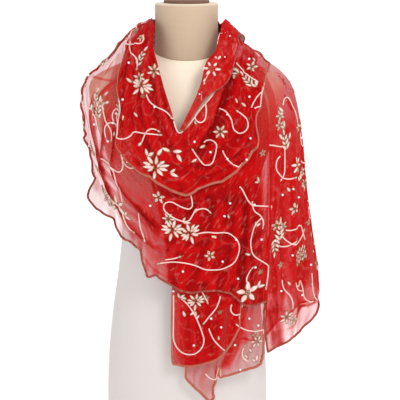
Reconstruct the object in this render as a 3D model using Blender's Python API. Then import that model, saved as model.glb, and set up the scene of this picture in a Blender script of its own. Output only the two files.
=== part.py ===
"""Embroidered scarf worn round a limbless dress form.

Metres, +Z up, the front faces -Y, and the origin is the middle of the form's flat base.
The cloth is charted as a dressmaker charts a cape: an angle round the neck (0 at the front, 90 at the
right, 180 behind, -90 at the left) and a depth measured down the cloth from the neck.
"""

import bpy
import numpy as np

# Driving dimensions, in metres
CLOTH_WALL = 0.0016
SEAM_GAP = 0.0003
EDGING_WIDTH = 0.0036
EDGING_GAP = 0.0005
SCALLOP_PITCH = 0.052
SCALLOP_RISE = 0.005
NECK_RADIUS = 0.0595
NECK_TOP = 0.810
CAP_RADIUS = 0.043
CAP_RISE = 0.005
CAP_BEVEL = 0.0015
RIM_ROUND = 0.004
RIM_SHARE = 0.3
FORM_SIDES = 32
FORM_HEIGHTS = 26
NECK_SEAM = 0.720
NECK_TILT = 0.014
LIFT_ON_FORM = 0.0012
LIFT_TAIL_CORNER = 0.0025
LIFT_TAIL = 0.0066
LIFT_CROSS = 0.0115
LIFT_COLLAR = 0.0184
LIFT_LAPEL = 0.0255
FAN_FOLD = 0.003
EDGE_FLARE = 0.018
SWAG_FOLD = 0.004
FALL_PLEAT = 0.009

COLOUR = {
    "cloth": (0.62, 0.012, 0.02, 1.0),
    "edging": (0.30, 0.06, 0.035, 1.0),
    "form": (0.80, 0.78, 0.74, 1.0),
    "neck": (0.55, 0.43, 0.33, 1.0),
    "cap": (0.16, 0.07, 0.04, 1.0),
}

# The dress form, ring by ring from the base up. A ring's height may differ at its side, front and back.
FORM_RINGS = (
    # side_z, half_width, front_z, front_depth, back_z, back_depth
    (0.000, 0.160, 0.000, 0.118, 0.000, 0.122),
    (0.100, 0.157, 0.100, 0.117, 0.100, 0.124),
    (0.200, 0.148, 0.200, 0.113, 0.200, 0.118),
    (0.300, 0.134, 0.300, 0.103, 0.300, 0.101),
    (0.380, 0.127, 0.380, 0.097, 0.380, 0.091),
    (0.460, 0.138, 0.460, 0.106, 0.460, 0.096),
    (0.530, 0.158, 0.530, 0.112, 0.540, 0.104),
    (0.590, 0.176, 0.580, 0.103, 0.600, 0.105),
    (0.635, 0.186, 0.620, 0.090, 0.650, 0.099),
    (0.660, 0.184, 0.650, 0.080, 0.680, 0.089),
    (0.678, 0.166, 0.672, 0.073, 0.700, 0.079),
    (0.694, 0.130, 0.688, 0.067, 0.716, 0.069),
    (0.707, 0.090, 0.699, 0.062, 0.727, 0.063),
    (NECK_SEAM, NECK_RADIUS, NECK_SEAM - NECK_TILT, NECK_RADIUS, NECK_SEAM + NECK_TILT, NECK_RADIUS),
)

# The surface that the innermost cloth follows, by depth below the neck.
DRAPE_RINGS = (
    # depth, left_r, left_z, front_r, front_z, right_r, right_z, back_r, back_z
    (0.000, 0.063, 0.776, 0.063, 0.752, 0.063, 0.768, 0.0597, 0.780),
    (0.030, 0.088, 0.766, 0.073, 0.726, 0.090, 0.744, 0.0602, 0.750),
    (0.060, 0.113, 0.748, 0.080, 0.700, 0.116, 0.722, 0.0665, 0.723),
    (0.095, 0.137, 0.713, 0.090, 0.668, 0.146, 0.703, 0.0825, 0.699),
    (0.130, 0.163, 0.692, 0.101, 0.635, 0.176, 0.683, 0.098, 0.668),
    (0.165, 0.187, 0.669, 0.111, 0.602, 0.199, 0.657, 0.110, 0.635),
    (0.200, 0.198, 0.638, 0.119, 0.568, 0.212, 0.624, 0.118, 0.600),
    (0.270, 0.194, 0.568, 0.127, 0.500, 0.225, 0.556, 0.124, 0.530),
    (0.350, 0.179, 0.490, 0.129, 0.420, 0.236, 0.477, 0.124, 0.450),
    (0.430, 0.170, 0.411, 0.127, 0.340, 0.244, 0.398, 0.126, 0.370),
    (0.520, 0.160, 0.322, 0.128, 0.250, 0.251, 0.308, 0.130, 0.280),
    (0.620, 0.160, 0.222, 0.130, 0.150, 0.257, 0.208, 0.134, 0.180),
    (0.720, 0.162, 0.122, 0.131, 0.050, 0.260, 0.108, 0.136, 0.080),
)

# Each stretch is ruled from its inner edge to its outer edge, station by station along the scarf. The bow
# is how far, in degrees, the ruled line bends sideways at its middle.
CROSS_DRAPE = (
    # inner_angle, inner_depth, outer_angle, outer_depth, bow
    (-104, 0.000, -98, 0.030, 0),
    (-92, 0.000, -92, 0.080, 0),
    (-80, 0.000, -91, 0.140, 0),
    (-68, 0.002, -90, 0.200, 0),
    (-56, 0.008, -88, 0.275, 0),
    (-44, 0.025, -80, 0.325, 0),
    (-33, 0.048, -82, 0.385, 0),
    (-24, 0.080, -66, 0.415, 0),
    (-16, 0.120, -46, 0.425, 0),
    (-10, 0.155, -31, 0.440, 0),
    (-4, 0.190, -22, 0.470, 0),
    (6, 0.180, -8, 0.478, 0),
    (17, 0.150, 6, 0.485, -1),
    (30, 0.115, 18, 0.503, -3),
    (45, 0.085, 27, 0.522, -5),
    (60, 0.060, 35.2, 0.530, -6.05),
)
COLLAR = (
    # inner_angle, inner_depth, outer_angle, outer_depth, bow
    (-104, 0.000, -98, 0.028, 0),
    (-82, 0.000, -74, 0.055, 0),
    (-63, 0.003, -63, 0.085, 0),
    (-47, 0.012, -51, 0.120, 0),
    (-32, 0.045, -39, 0.160, 0),
    (-22, 0.075, -37, 0.205, 0),
    (-14, 0.115, -36, 0.245, 0),
    (-8, 0.152, -24, 0.280, 0),
    (-4, 0.188, -10, 0.292, 0),
    (1, 0.176, 2, 0.296, 0),
    (7, 0.150, 13, 0.272, 0),
    (15, 0.126, 25, 0.262, 0),
    (24, 0.100, 34, 0.235, 0),
    (34, 0.078, 36, 0.190, 0),
    (46, 0.058, 44, 0.160, 0),
    (60, 0.040, 62, 0.135, 0),
    (73, 0.032, 79, 0.108, 0),
    (83, 0.030, 87, 0.080, 0),
)
LAPEL = (
    # inner_angle, inner_depth, outer_angle, outer_depth, bow
    (104, 0.000, 104, 0.050, 0),
    (80, 0.000, 82, 0.040, 0),
    (56, 0.002, 60, 0.036, 0),
    (40, 0.018, 50, 0.052, 0),
    (28, 0.041, 36, 0.080, 0),
    (16, 0.062, 24, 0.111, 0),
    (9, 0.105, 12, 0.128, 0),
    (3, 0.142, 5.5, 0.150, 0),
    (-3, 0.182, -1.5, 0.186, 0),
)
FRONT_TAIL = (
    # inner_angle, inner_depth, outer_angle, outer_depth, bow
    (30, 0.070, -8.5, 0.628, -13),
    (35, 0.070, -2, 0.634, -10),
    (40, 0.070, 4, 0.636, -8),
    (45, 0.070, 12, 0.630, -6),
    (50, 0.070, 17, 0.606, -5),
    (54, 0.070, 22.5, 0.568, -4),
)
TAIL_CORNER = (
    # inner_angle, inner_depth, outer_angle, outer_depth, bow
    (40, 0.075, 0, 0.655, -8),
    (44, 0.075, 5.5, 0.677, -7),
    (47, 0.075, 11, 0.699, -6),
    (50, 0.075, 14, 0.684, -5),
    (54, 0.075, 22, 0.664, -5),
    (57, 0.075, 30.5, 0.664, -5),
    (58, 0.075, 33.5, 0.640, -5),
)
SHOULDER_FALL = (
    # inner_angle, inner_depth, outer_angle, outer_depth, bow
    (61.0, 0.060, 37.5, 0.633, -9),
    (70, 0.060, 46, 0.620, -7),
    (80, 0.060, 60, 0.608, -5),
    (92, 0.060, 88, 0.600, 0),
    (106, 0.060, 112, 0.615, 0),
    (118, 0.060, 130, 0.650, 0),
    (128, 0.060, 142, 0.690, 0),
)
BACK_NECK = (
    # inner_angle, inner_depth, outer_angle, outer_depth, bow
    (-105.2, 0.000, -99.2, 0.030, 0),
    (-118, 0.000, -116, 0.075, 0),
    (-145, 0.000, -145, 0.115, 0),
    (-180, 0.000, -180, 0.130, 0),
    (-212, 0.000, -212, 0.100, 0),
    (-234, 0.000, -232, 0.050, 0),
    (-255.5, 0.000, -255.5, 0.048, 0),
)


def smooth(at, stations, values):
    """Cubic curve through the stations. Its slope at each one comes from the stations beside it."""
    stations = np.asarray(stations, float)
    values = np.asarray(values, float)
    at = np.clip(np.asarray(at, float), stations[0], stations[-1])
    slopes = np.gradient(values, stations, axis=0)
    left = np.clip(np.searchsorted(stations, at, side="right") - 1, 0, len(stations) - 2)
    step = stations[left + 1] - stations[left]
    part = (at - stations[left]) / step
    if values.ndim > 1:
        step, part = step[..., None], part[..., None]
    return (
        (1 + 2 * part) * (1 - part) ** 2 * values[left]
        + part * (1 - part) ** 2 * step * slopes[left]
        + part**2 * (3 - 2 * part) * values[left + 1]
        + part**2 * (part - 1) * step * slopes[left + 1]
    )


def unit(vectors):
    """The vectors, each one long."""
    return vectors / np.linalg.norm(vectors, axis=-1, keepdims=True)


def rest_surface(angle, depth):
    """Point of the innermost cloth. Each ring is an ellipse from its four radii, and its height swings
    between its side height and its front or back height with the square of the cosine."""
    turn = np.radians(angle)
    ring = smooth(depth, [row[0] for row in DRAPE_RINGS], [row[1:] for row in DRAPE_RINGS])
    left_r, left_z, front_r, front_z, right_r, right_z, back_r, back_z = np.moveaxis(ring, -1, 0)
    at_right, at_front = np.sin(turn) > 0, np.cos(turn) > 0
    side_r, side_z = np.where(at_right, right_r, left_r), np.where(at_right, right_z, left_z)
    face_r, face_z = np.where(at_front, front_r, back_r), np.where(at_front, front_z, back_z)
    height = side_z + (face_z - side_z) * np.cos(turn) ** 2
    return np.stack([side_r * np.sin(turn), -face_r * np.cos(turn), height], axis=-1)


def outward(angle, depth):
    """Unit normal of the rest surface, from small steps along its two directions."""
    across = rest_surface(angle + 0.5, depth) - rest_surface(angle - 0.5, depth)
    along = rest_surface(angle, depth + 0.004) - rest_surface(angle, depth - 0.004)
    return unit(np.cross(along, across))


def on_drape(angle, depth, lift):
    """Point a lift above the rest surface."""
    return rest_surface(angle, depth) + outward(angle, depth) * np.asarray(lift)[..., None]


def hump(value, middle, reach):
    """Soft ridge: 1 at its middle and 0 a reach away on both sides."""
    part = np.clip(np.abs(value - middle) / reach, 0, 1)
    return 0.5 + 0.5 * np.cos(np.pi * part)


def rise(value, start, end):
    """Soft step from 0 at start to 1 at end."""
    part = np.clip((value - start) / (end - start), 0, 1)
    return part * part * (3 - 2 * part)


def cross_lift(angle, depth, along, across):
    """Cross drape: above the tail at the front and close to the form at the left shoulder. Three soft
    folds fan out from that shoulder, below the collar, and the free edge at the left flares."""
    level = LIFT_ON_FORM + (LIFT_CROSS - LIFT_ON_FORM) * rise(angle, -62, -25)
    below_collar = rise(across, 0.55, 0.85)
    fan = sum(hump(along, middle, 0.05) for middle in (0.48, 0.62, 0.76))
    flare = EDGE_FLARE * hump(depth, 0.395, 0.035) * rise(-angle, 55, 80)
    return level + FAN_FOLD * below_collar * fan + flare


def collar_lift(angle, depth, along, across):
    """Collar: just above the cross drape, with two folds that hang from neck to neck like swags."""
    at_ends = LIFT_ON_FORM + 2 * CLOTH_WALL
    at_front = rise(angle, -85, -28) * rise(-angle, -92, -50)
    level = at_ends + (LIFT_COLLAR - at_ends) * at_front
    swags = hump(across, 0.48, 0.14) + hump(across, 0.78, 0.13)
    return level + SWAG_FOLD * swags * rise(along, 0.25, 0.4) * rise(-along, -0.8, -0.65)


def lapel_lift(angle, depth, along, across):
    """Lapel: on the neck behind, rising above the collar at the front."""
    return LIFT_ON_FORM + (LIFT_LAPEL - LIFT_ON_FORM) * rise(-angle, -104, -62)


def tail_lift(angle, depth, along, across):
    """Front tail: flat over its own corner, and up against the cross drape at its top."""
    below_cross = LIFT_CROSS - CLOTH_WALL - SEAM_GAP
    return LIFT_TAIL + (below_cross - LIFT_TAIL) * rise(-across, -0.12, 0)


def tail_corner_lift(angle, depth, along, across):
    """Corner of the tail: close to the form, and up against the front tail at its top."""
    below_tail = LIFT_CROSS - 2 * CLOTH_WALL - 4 * SEAM_GAP
    return LIFT_TAIL_CORNER + (below_tail - LIFT_TAIL_CORNER) * rise(-across, -0.12, 0)


def fall_lift(angle, depth, along, across):
    """Shoulder fall: level with the cross drape at their seam, on the form at the shoulder, then hanging
    in four upright pleats that deepen towards the hem."""
    level = LIFT_ON_FORM + (LIFT_CROSS - LIFT_ON_FORM) * rise(-angle, -86, -62)
    pleats = sum(hump(along, middle, 0.11) for middle in (0.20, 0.42, 0.64, 0.86))
    return level + FALL_PLEAT * pleats * rise(across, 0.15, 0.9) * rise(along, 0.03, 0.15)


def back_lift(angle, depth, along, across):
    """Stretch behind the neck: against the neck and the top of the back."""
    return np.full_like(angle, LIFT_ON_FORM)


# The last two columns are the shares of a stretch's two end lines that are free edges.
STRETCHES = (
    # name, stations, lift, columns, rows, start_edged, end_edged
    ("cross_drape", CROSS_DRAPE, cross_lift, 76, 8, 0, 0),
    ("collar", COLLAR, collar_lift, 48, 7, 0, 0.6),
    ("lapel", LAPEL, lapel_lift, 20, 4, 0, 0),
    ("front_tail", FRONT_TAIL, tail_lift, 16, 14, 0.75, 0.75),
    ("tail_corner", TAIL_CORNER, tail_corner_lift, 24, 12, 0.05, 0.4),
    ("shoulder_fall", SHOULDER_FALL, fall_lift, 28, 12, 0.15, 0.9),
    ("back_neck", BACK_NECK, back_lift, 26, 5, 0, 0),
)


def band(stations, columns, rows):
    """Angle, depth and the shares along and across the band of a grid ruled from edge to edge. The outer
    edge swings by a scallop's rise, once in each scallop's pitch."""
    along, across = np.meshgrid(np.linspace(0, 1, columns), np.linspace(0, 1, rows), indexing="ij")
    edges = smooth(along[:, 0], np.linspace(0, 1, len(stations)), stations)[:, None, :]
    angle = edges[..., 0] + (edges[..., 2] - edges[..., 0]) * across
    depth = edges[..., 1] + (edges[..., 3] - edges[..., 1]) * across
    angle = angle + edges[..., 4] * 4 * across * (1 - across)
    outer, inner = (rest_surface(angle[:, side], depth[:, side]) for side in (-1, 0))
    length = np.concatenate([[0], np.cumsum(np.linalg.norm(np.diff(outer, axis=0), axis=1))])
    waves = max(1, round(length[-1] / SCALLOP_PITCH))
    swing = (1 + np.cos(2 * np.pi * waves * length / length[-1])) / 2
    reach = SCALLOP_RISE / np.maximum(np.linalg.norm(outer - inner, axis=1), 8 * SCALLOP_RISE)
    share = (reach * swing)[:, None] * rise(across, 0.6, 1)
    angle = angle - share * (edges[..., 2] - edges[..., 0])
    depth = depth - share * (edges[..., 3] - edges[..., 1])
    return angle, depth, along, across


def grid_faces(columns, rows, first=0):
    """Quads of a grid whose vertices run row by row."""
    at = first + np.arange(columns * rows).reshape(columns, rows)
    quads = np.stack([at[:-1, :-1], at[1:, :-1], at[1:, 1:], at[:-1, 1:]], axis=-1)
    return quads.reshape(-1, 4)


def surface_normals(points):
    """Unit normal at each point of a grid."""
    return unit(np.cross(np.gradient(points, axis=1), np.gradient(points, axis=0)))


def make_mesh(name, points, faces, material):
    """Puts a smooth-shaded mesh in the scene under its name."""
    mesh = bpy.data.meshes.new(name)
    mesh.from_pydata(np.reshape(points, (-1, 3)).tolist(), [], faces)
    mesh.shade_smooth()
    mesh.set_sharp_from_angle(angle=np.radians(50))
    mesh.materials.append(material)
    bpy.context.scene.collection.objects.link(bpy.data.objects.new(name, mesh))


def cloth_wall(name, points, material):
    """Closed wall: the grid moved half a wall both ways along its normals, and a strip round its rim."""
    columns, rows = points.shape[:2]
    half = surface_normals(points) * CLOTH_WALL / 2
    count = columns * rows
    rim = np.concatenate([
        np.arange(rows),
        np.arange(2, columns + 1) * rows - 1,
        (columns - 1) * rows + np.arange(rows - 2, -1, -1),
        np.arange(columns - 2, 0, -1) * rows,
    ])
    follow = np.roll(rim, -1)
    strip = np.stack([follow, rim, rim + count, follow + count], axis=-1)
    faces = np.concatenate([
        grid_faces(columns, rows)[:, ::-1], grid_faces(columns, rows, count), strip,
    ])
    make_mesh(name, np.array([points + half, points - half]), faces.tolist(), material)


def edging(name, points, start_edged, end_edged, material):
    """Overlocked edge: a four-sided roll beyond the outer edge and the free shares of the end lines. The
    cloth's rim is moved out, square to itself, by the seam gap and half the roll's width."""
    normal = surface_normals(points)
    rows = points.shape[1]
    first = rows - 1 - int(round(start_edged * (rows - 1)))
    last = rows - 1 - int(round(end_edged * (rows - 1)))
    rim, upward = (
        np.concatenate([grid[0, first:-1], grid[:, -1], grid[-1, last:-1][::-1]])
        for grid in (points, normal)
    )
    if not start_edged:
        rim, upward = rim[1:], upward[1:]
    if not end_edged:
        rim, upward = rim[:-1], upward[:-1]
    steps = unit(np.diff(rim, axis=0))
    tangent = unit(np.concatenate([steps[:1], steps[:-1] + steps[1:], steps[-1:]]))
    away = unit(np.cross(tangent, upward))
    upward = unit(np.cross(away, tangent))
    mitre = np.ones((len(rim), 1))
    mitre[1:-1, 0] = np.sqrt((1 + np.sum(steps[:-1] * steps[1:], axis=1)) / 2)
    middle = rim + away * (EDGING_GAP + EDGING_WIDTH / 2) / mitre
    rings = np.stack([middle + side * EDGING_WIDTH / 2 for side in (away, upward, -away, -upward)], axis=1)
    make_mesh(name, rings, roll_faces(len(rings), 4), material)


def roll_faces(count, sides):
    """Faces of a closed roll of rings, each with so many sides, and its two end caps."""
    at = np.arange(count * sides).reshape(count, sides)
    turned_on = np.roll(at, -1, axis=1)
    quads = np.stack([at[:-1], at[1:], turned_on[1:], turned_on[:-1]], axis=-1).reshape(-1, 4)
    return quads.tolist() + [at[0].tolist(), at[-1, ::-1].tolist()]


def turned(name, rings, material):
    """Closed body from rings, bottom to top, with flat ends."""
    count, around = rings.shape[:2]
    faces = [face[::-1] for face in roll_faces(count, around)]
    make_mesh(name, rings, faces, material)


def form_torso(material):
    """Torso between its flat base and the neck seam, through the form's rings."""
    stations = np.linspace(0, len(FORM_RINGS) - 1, FORM_HEIGHTS)
    rings = smooth(stations, np.arange(len(FORM_RINGS)), FORM_RINGS)
    turn = np.linspace(0, 2 * np.pi, FORM_SIDES, endpoint=False)
    side_z, half_width, front_z, front_depth, back_z, back_depth = rings.T[:, :, None]
    at_front = np.cos(turn) > 0
    face_r = np.where(at_front, front_depth, back_depth)
    face_z = np.where(at_front, front_z, back_z)
    height = side_z + (face_z - side_z) * np.cos(turn) ** 2
    height[-1] = NECK_SEAM - NECK_TILT * np.cos(turn)
    points = np.stack([half_width * np.sin(turn), -face_r * np.cos(turn), height], axis=-1)
    turned("form_torso", points, material)


def round_rings(rims):
    """Rings round the neck's axis from pairs of a radius and a height."""
    turn = np.linspace(0, 2 * np.pi, FORM_SIDES, endpoint=False)
    return np.array([
        np.stack([r * np.sin(turn), -r * np.cos(turn), np.broadcast_to(z, turn.shape)], axis=-1)
        for r, z in rims
    ])


def form_neck(material):
    """Straight block on the torso's seam ring, with a rounded top rim."""
    turn = np.linspace(0, 2 * np.pi, FORM_SIDES, endpoint=False)
    rims = [
        (NECK_RADIUS, NECK_SEAM - NECK_TILT * np.cos(turn) + SEAM_GAP),
        (NECK_RADIUS, NECK_TOP - RIM_ROUND),
        (NECK_RADIUS - RIM_ROUND * RIM_SHARE, NECK_TOP - RIM_ROUND * RIM_SHARE),
        (NECK_RADIUS - RIM_ROUND, NECK_TOP),
    ]
    turned("form_neck", round_rings(rims), material)


def form_cap(material):
    """Thin round plate on top of the neck block."""
    low = NECK_TOP + SEAM_GAP
    top = low + CAP_RISE
    rims = [(CAP_RADIUS, low), (CAP_RADIUS, top - CAP_BEVEL), (CAP_RADIUS - CAP_BEVEL, top)]
    turned("form_cap", round_rings(rims), material)


def make_material(name, colour, roughness):
    """Plain Principled finish."""
    material = bpy.data.materials.new(name)
    material.use_nodes = True
    shader = material.node_tree.nodes["Principled BSDF"]
    shader.inputs["Base Color"].default_value = colour
    shader.inputs["Roughness"].default_value = roughness
    return material


def build():
    """Makes every piece."""
    for old in list(bpy.data.objects):
        bpy.data.objects.remove(old)
    form_torso(make_material("form_jersey", COLOUR["form"], 0.8))
    form_neck(make_material("neck_cloth", COLOUR["neck"], 0.85))
    form_cap(make_material("cap_wood", COLOUR["cap"], 0.5))
    cloth = make_material("red_chiffon", COLOUR["cloth"], 0.6)
    thread = make_material("overlock_thread", COLOUR["edging"], 0.7)
    for name, stations, lift, columns, rows, start_edged, end_edged in STRETCHES:
        angle, depth, along, across = band(stations, columns, rows)
        points = on_drape(angle, depth, lift(angle, depth, along, across))
        cloth_wall(name, points, cloth)
        edging(name + "_edging", points, start_edged, end_edged, thread)


build()
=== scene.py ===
import bpy
import numpy as np
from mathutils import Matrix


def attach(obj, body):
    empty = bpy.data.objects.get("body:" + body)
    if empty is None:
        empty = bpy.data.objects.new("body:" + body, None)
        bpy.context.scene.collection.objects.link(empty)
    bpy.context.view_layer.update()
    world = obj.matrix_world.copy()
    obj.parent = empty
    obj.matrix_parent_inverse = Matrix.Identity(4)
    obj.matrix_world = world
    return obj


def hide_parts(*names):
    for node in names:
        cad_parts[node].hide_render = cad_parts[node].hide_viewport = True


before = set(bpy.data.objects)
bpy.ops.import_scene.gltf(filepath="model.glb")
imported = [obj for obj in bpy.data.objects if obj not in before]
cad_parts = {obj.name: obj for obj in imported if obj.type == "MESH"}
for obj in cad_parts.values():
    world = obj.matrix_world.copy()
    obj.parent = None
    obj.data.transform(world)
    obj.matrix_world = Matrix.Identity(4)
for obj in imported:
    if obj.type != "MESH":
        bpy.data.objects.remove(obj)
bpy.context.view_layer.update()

# Camera. A product photograph from a little above, with a long lens aimed at the middle of the scarf.
# Metres, +Z up, the front faces -Y.
CAMERA_AIM = np.array([0.0254, 0.0, 0.430])
CAMERA_AWAY = 2.4
CAMERA_RAISED = np.radians(12)
CAMERA_LENS = 110.8
camera = bpy.data.objects.new("camera", bpy.data.cameras.new("camera"))
camera.location = CAMERA_AIM + CAMERA_AWAY * np.array([0, -np.cos(CAMERA_RAISED), np.sin(CAMERA_RAISED)])
camera.rotation_euler = (np.pi / 2 - CAMERA_RAISED, 0, 0)
camera.data.lens = CAMERA_LENS
bpy.context.scene.collection.objects.link(camera)
bpy.context.scene.camera = camera


# The dress form's torso. A padded shell under pale jersey, cut off flat at the base, with no limbs.
# It is turned ring by ring: every ring is an ellipse with its own width and its own front and back depth.
# Tables are in millimetres and degrees, and all other sizes in metres.
MM = 1000
FORM_RINGS = np.array((
    # side_z, half_width, front_z, front_depth, back_z, back_depth
    (0, 160, 0, 118, 0, 122),
    (100, 157, 100, 117, 100, 124),
    (200, 148, 200, 113, 200, 118),
    (300, 134, 300, 103, 300, 101),
    (380, 127, 380, 97, 380, 91),
    (460, 138, 460, 106, 460, 96),
    (530, 158, 530, 112, 540, 104),
    (590, 176, 580, 103, 600, 105),
    (635, 186, 620, 90, 650, 99),
    (660, 184, 650, 80, 680, 89),
    (678, 166, 672, 73, 700, 79),
    (694, 130, 688, 67, 716, 69),
    (707, 90, 699, 62, 727, 63),
    (720, 59.5, 706, 59.5, 734, 59.5),
)) / MM
NECK_SEAM = 0.720
NECK_TILT = 0.014
FORM_AROUND = 144
TORSO_RINGS = 100


class Wire:
    """One output of a material's nodes. Arithmetic on wires adds the Math nodes that work it out."""

    def __init__(self, tree, socket=None):
        self.tree, self.socket = tree, socket

    def node(self, kind, settings=None, inputs=None, output=0):
        """Adds any other node: its settings first, then the values or wires of its sockets."""
        made = self.tree.nodes.new(kind)
        for name, value in (settings or {}).items():
            if name == "stops":
                for stop, (place, colour) in zip(made.color_ramp.elements, value):
                    stop.position, stop.color = place, (*colour, 1)
            else:
                setattr(made, name, value)
        for name, value in (inputs or {}).items():
            if isinstance(value, Wire):
                self.tree.links.new(value.socket, made.inputs[name])
            else:
                made.inputs[name].default_value = value
        return Wire(self.tree, made.outputs[output])

    def maths(self, operation, *values):
        """A Math node's result for these values or wires."""
        return self.node("ShaderNodeMath", {"operation": operation}, dict(enumerate(values)))

    def place(self):
        """Where a point is on the object, in metres."""
        return self.node("ShaderNodeTexCoord", output=3)

    def weave(self):
        """Where a point is on its piece's UV map."""
        return self.node("ShaderNodeTexCoord", output=2)

    def part(self, axis):
        """One coordinate of this place: 0, 1 or 2 for X, Y or Z."""
        return self.node("ShaderNodeSeparateXYZ", inputs={0: self}, output=axis)

    def noise(self, scale, detail=2.0):
        """Clouds over this place, from 0 to 1 and mostly near 0.5."""
        return self.node("ShaderNodeTexNoise", inputs={"Vector": self, "Scale": scale, "Detail": detail})

    def wave(self, scale, distortion=0.0, **settings):
        """Even bands over this place, from 0 to 1."""
        inputs = {"Vector": self, "Scale": scale, "Distortion": distortion}
        return self.node("ShaderNodeTexWave", settings, inputs)

    def ramp(self, low, high, **settings):
        """0 where this wire is low, 1 where it is high, and in proportion between them."""
        return self.node("ShaderNodeMapRange", settings, {"Value": self, "From Min": low, "From Max": high})

    def tint(self, low, high):
        """The first colour where this wire is 0, the second where it is 1."""
        return self.node("ShaderNodeMix", {"data_type": "RGBA"}, {"Factor": self, 6: low, 7: high}, output=2)

    def __add__(self, other):
        return self.maths("ADD", self, other)

    def __sub__(self, other):
        return self.maths("SUBTRACT", self, other)

    def __rsub__(self, other):
        return self.maths("SUBTRACT", other, self)

    def __mul__(self, other):
        return self.maths("MULTIPLY", self, other)

    def __rpow__(self, other):
        return self.maths("POWER", other, self)

    __radd__, __rmul__ = __add__, __mul__


def finish(name, colour, roughness, bump=None, bump_height=0.001, alpha=None, **constants):
    """A Principled finish. Its colour, roughness, bump and alpha are values or functions of a first wire."""
    material = bpy.data.materials.new(name)
    material.use_nodes = True
    tree = material.node_tree
    shader = tree.nodes["Principled BSDF"]
    start = Wire(tree)
    for socket, value in (("Base Color", colour), ("Roughness", roughness), ("Alpha", alpha)):
        if callable(value):
            tree.links.new(value(start).socket, shader.inputs[socket])
        elif value is not None:
            shader.inputs[socket].default_value = value
    if bump:
        raised = start.node("ShaderNodeBump", {}, {"Height": bump(start), "Distance": bump_height})
        tree.links.new(raised.socket, shader.inputs["Normal"])
    for socket, value in constants.items():
        shader.inputs[socket.replace("_", " ")].default_value = value
    return material


def smooth(at, stations, values):
    """Cubic curve through the stations. Its slope at each one comes from the stations beside it."""
    stations = np.asarray(stations, float)
    values = np.asarray(values, float)
    at = np.clip(np.asarray(at, float), stations[0], stations[-1])
    slopes = np.gradient(values, stations, axis=0)
    left = np.clip(np.searchsorted(stations, at, side="right") - 1, 0, len(stations) - 2)
    step = stations[left + 1] - stations[left]
    part = (at - stations[left]) / step
    if values.ndim > 1:
        step, part = step[..., None], part[..., None]
    return (
        (1 + 2 * part) * (1 - part) ** 2 * values[left]
        + part * (1 - part) ** 2 * step * slopes[left]
        + part**2 * (3 - 2 * part) * values[left + 1]
        + part**2 * (part - 1) * step * slopes[left + 1]
    )


def grid_faces(columns, rows):
    """Quads of a grid whose vertices run row by row."""
    at = np.arange(columns * rows).reshape(columns, rows)
    return np.stack([at[:-1, :-1], at[1:, :-1], at[1:, 1:], at[:-1, 1:]], axis=-1).reshape(-1, 4)


def put_mesh(name, points, faces, material, uv=None, plies=None):
    """Puts a smooth mesh in the scene. Each vertex may have a UV place and a number of plies."""
    mesh = bpy.data.meshes.new(name)
    mesh.from_pydata(np.reshape(points, (-1, 3)).tolist(), [], np.asarray(faces, dtype=object).tolist())
    mesh.shade_smooth()
    mesh.set_sharp_from_angle(angle=np.radians(50))
    if uv is not None:
        corner = np.empty(len(mesh.loops), np.int32)
        mesh.loops.foreach_get("vertex_index", corner)
        places = np.reshape(uv, (-1, 2))[corner].astype(np.float32)
        mesh.uv_layers.new(name="weave").data.foreach_set("uv", places.ravel())
    if plies is not None:
        mesh.attributes.new("plies", "FLOAT", "POINT")
        mesh.attributes["plies"].data.foreach_set("value", np.ravel(plies).astype(np.float32))
    mesh.materials.append(material)
    piece = bpy.data.objects.new(name, mesh)
    bpy.context.scene.collection.objects.link(piece)
    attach(piece, "root")
    return piece


def turned_faces(count, around):
    """Quads round a stack of rings, bottom to top, facing out, and a flat face at each end."""
    at = np.arange(count * around).reshape(count, around)
    on = np.roll(at, -1, axis=1)
    quads = np.stack([at[:-1], on[:-1], on[1:], at[1:]], axis=-1).reshape(-1, 4)
    return [*quads.tolist(), at[0, ::-1].tolist(), at[-1].tolist()]


def jersey_colour(wire):
    """White at the hips, painted darker there as shade low on the form, warming to cream over the chest with
    the height.
    """
    place = wire.place()
    warm = place.part(2) + 0.05 * place.noise(9.0, 3.0)
    return warm.ramp(0.42, 0.66, interpolation_type="SMOOTHSTEP").tint(HIP_SHADED_WHITE, CHEST_CREAM)


def jersey_knit(wire):
    """Fine knit over a slow unevenness."""
    place = wire.place()
    return place.noise(900.0, 1.0) * 0.3 + place.noise(22.0)


# Painted shade: the hips' white is darker than the chest's cream, as the lower form lies in shade.
HIP_SHADED_WHITE = (0.61, 0.565, 0.545, 1)
CHEST_CREAM = (0.88, 0.76, 0.60, 1)
turn = np.linspace(0, 2 * np.pi, FORM_AROUND, endpoint=False)
side_z, half_width, front_z, front_depth, back_z, back_depth = smooth(
    np.linspace(0, len(FORM_RINGS) - 1, TORSO_RINGS), np.arange(len(FORM_RINGS)), FORM_RINGS
).T[:, :, None]
at_front = np.cos(turn) > 0
form_z = side_z + (np.where(at_front, front_z, back_z) - side_z) * np.cos(turn) ** 2
form_z[-1] = NECK_SEAM - NECK_TILT * np.cos(turn)
form_y = -np.where(at_front, front_depth, back_depth) * np.cos(turn)
torso = put_mesh(
    "form_torso_cover",
    np.stack([half_width * np.sin(turn), form_y, form_z], axis=-1),
    turned_faces(TORSO_RINGS, FORM_AROUND),
    finish("form_jersey", jersey_colour, 0.85, jersey_knit, 0.0006, Sheen_Weight=0.2),
)
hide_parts("form_torso")


# The neck block and its cap. The block is padded board under tan linen, with a rolled rim that is painted
# paler as a highlight, and it sits on the torso's slanting neck seam. The cap is a turned disc of dark wood
# let into the rim.
NECK_RADIUS = 0.0595
NECK_TOP = 0.810
RIM_ROUND = 0.004
SEAM_ROUND = 0.0022
SEAM_GAP = 0.0003
ROUND_STEPS = 7
SIDE_RINGS = 24
CAP_RADIUS = 0.043
CAP_RISE = 0.005
CAP_BEVEL = 0.0015
NECK_TAN = (0.57, 0.42, 0.295, 1)
NECK_WORN = (0.46, 0.33, 0.22, 1)
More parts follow.
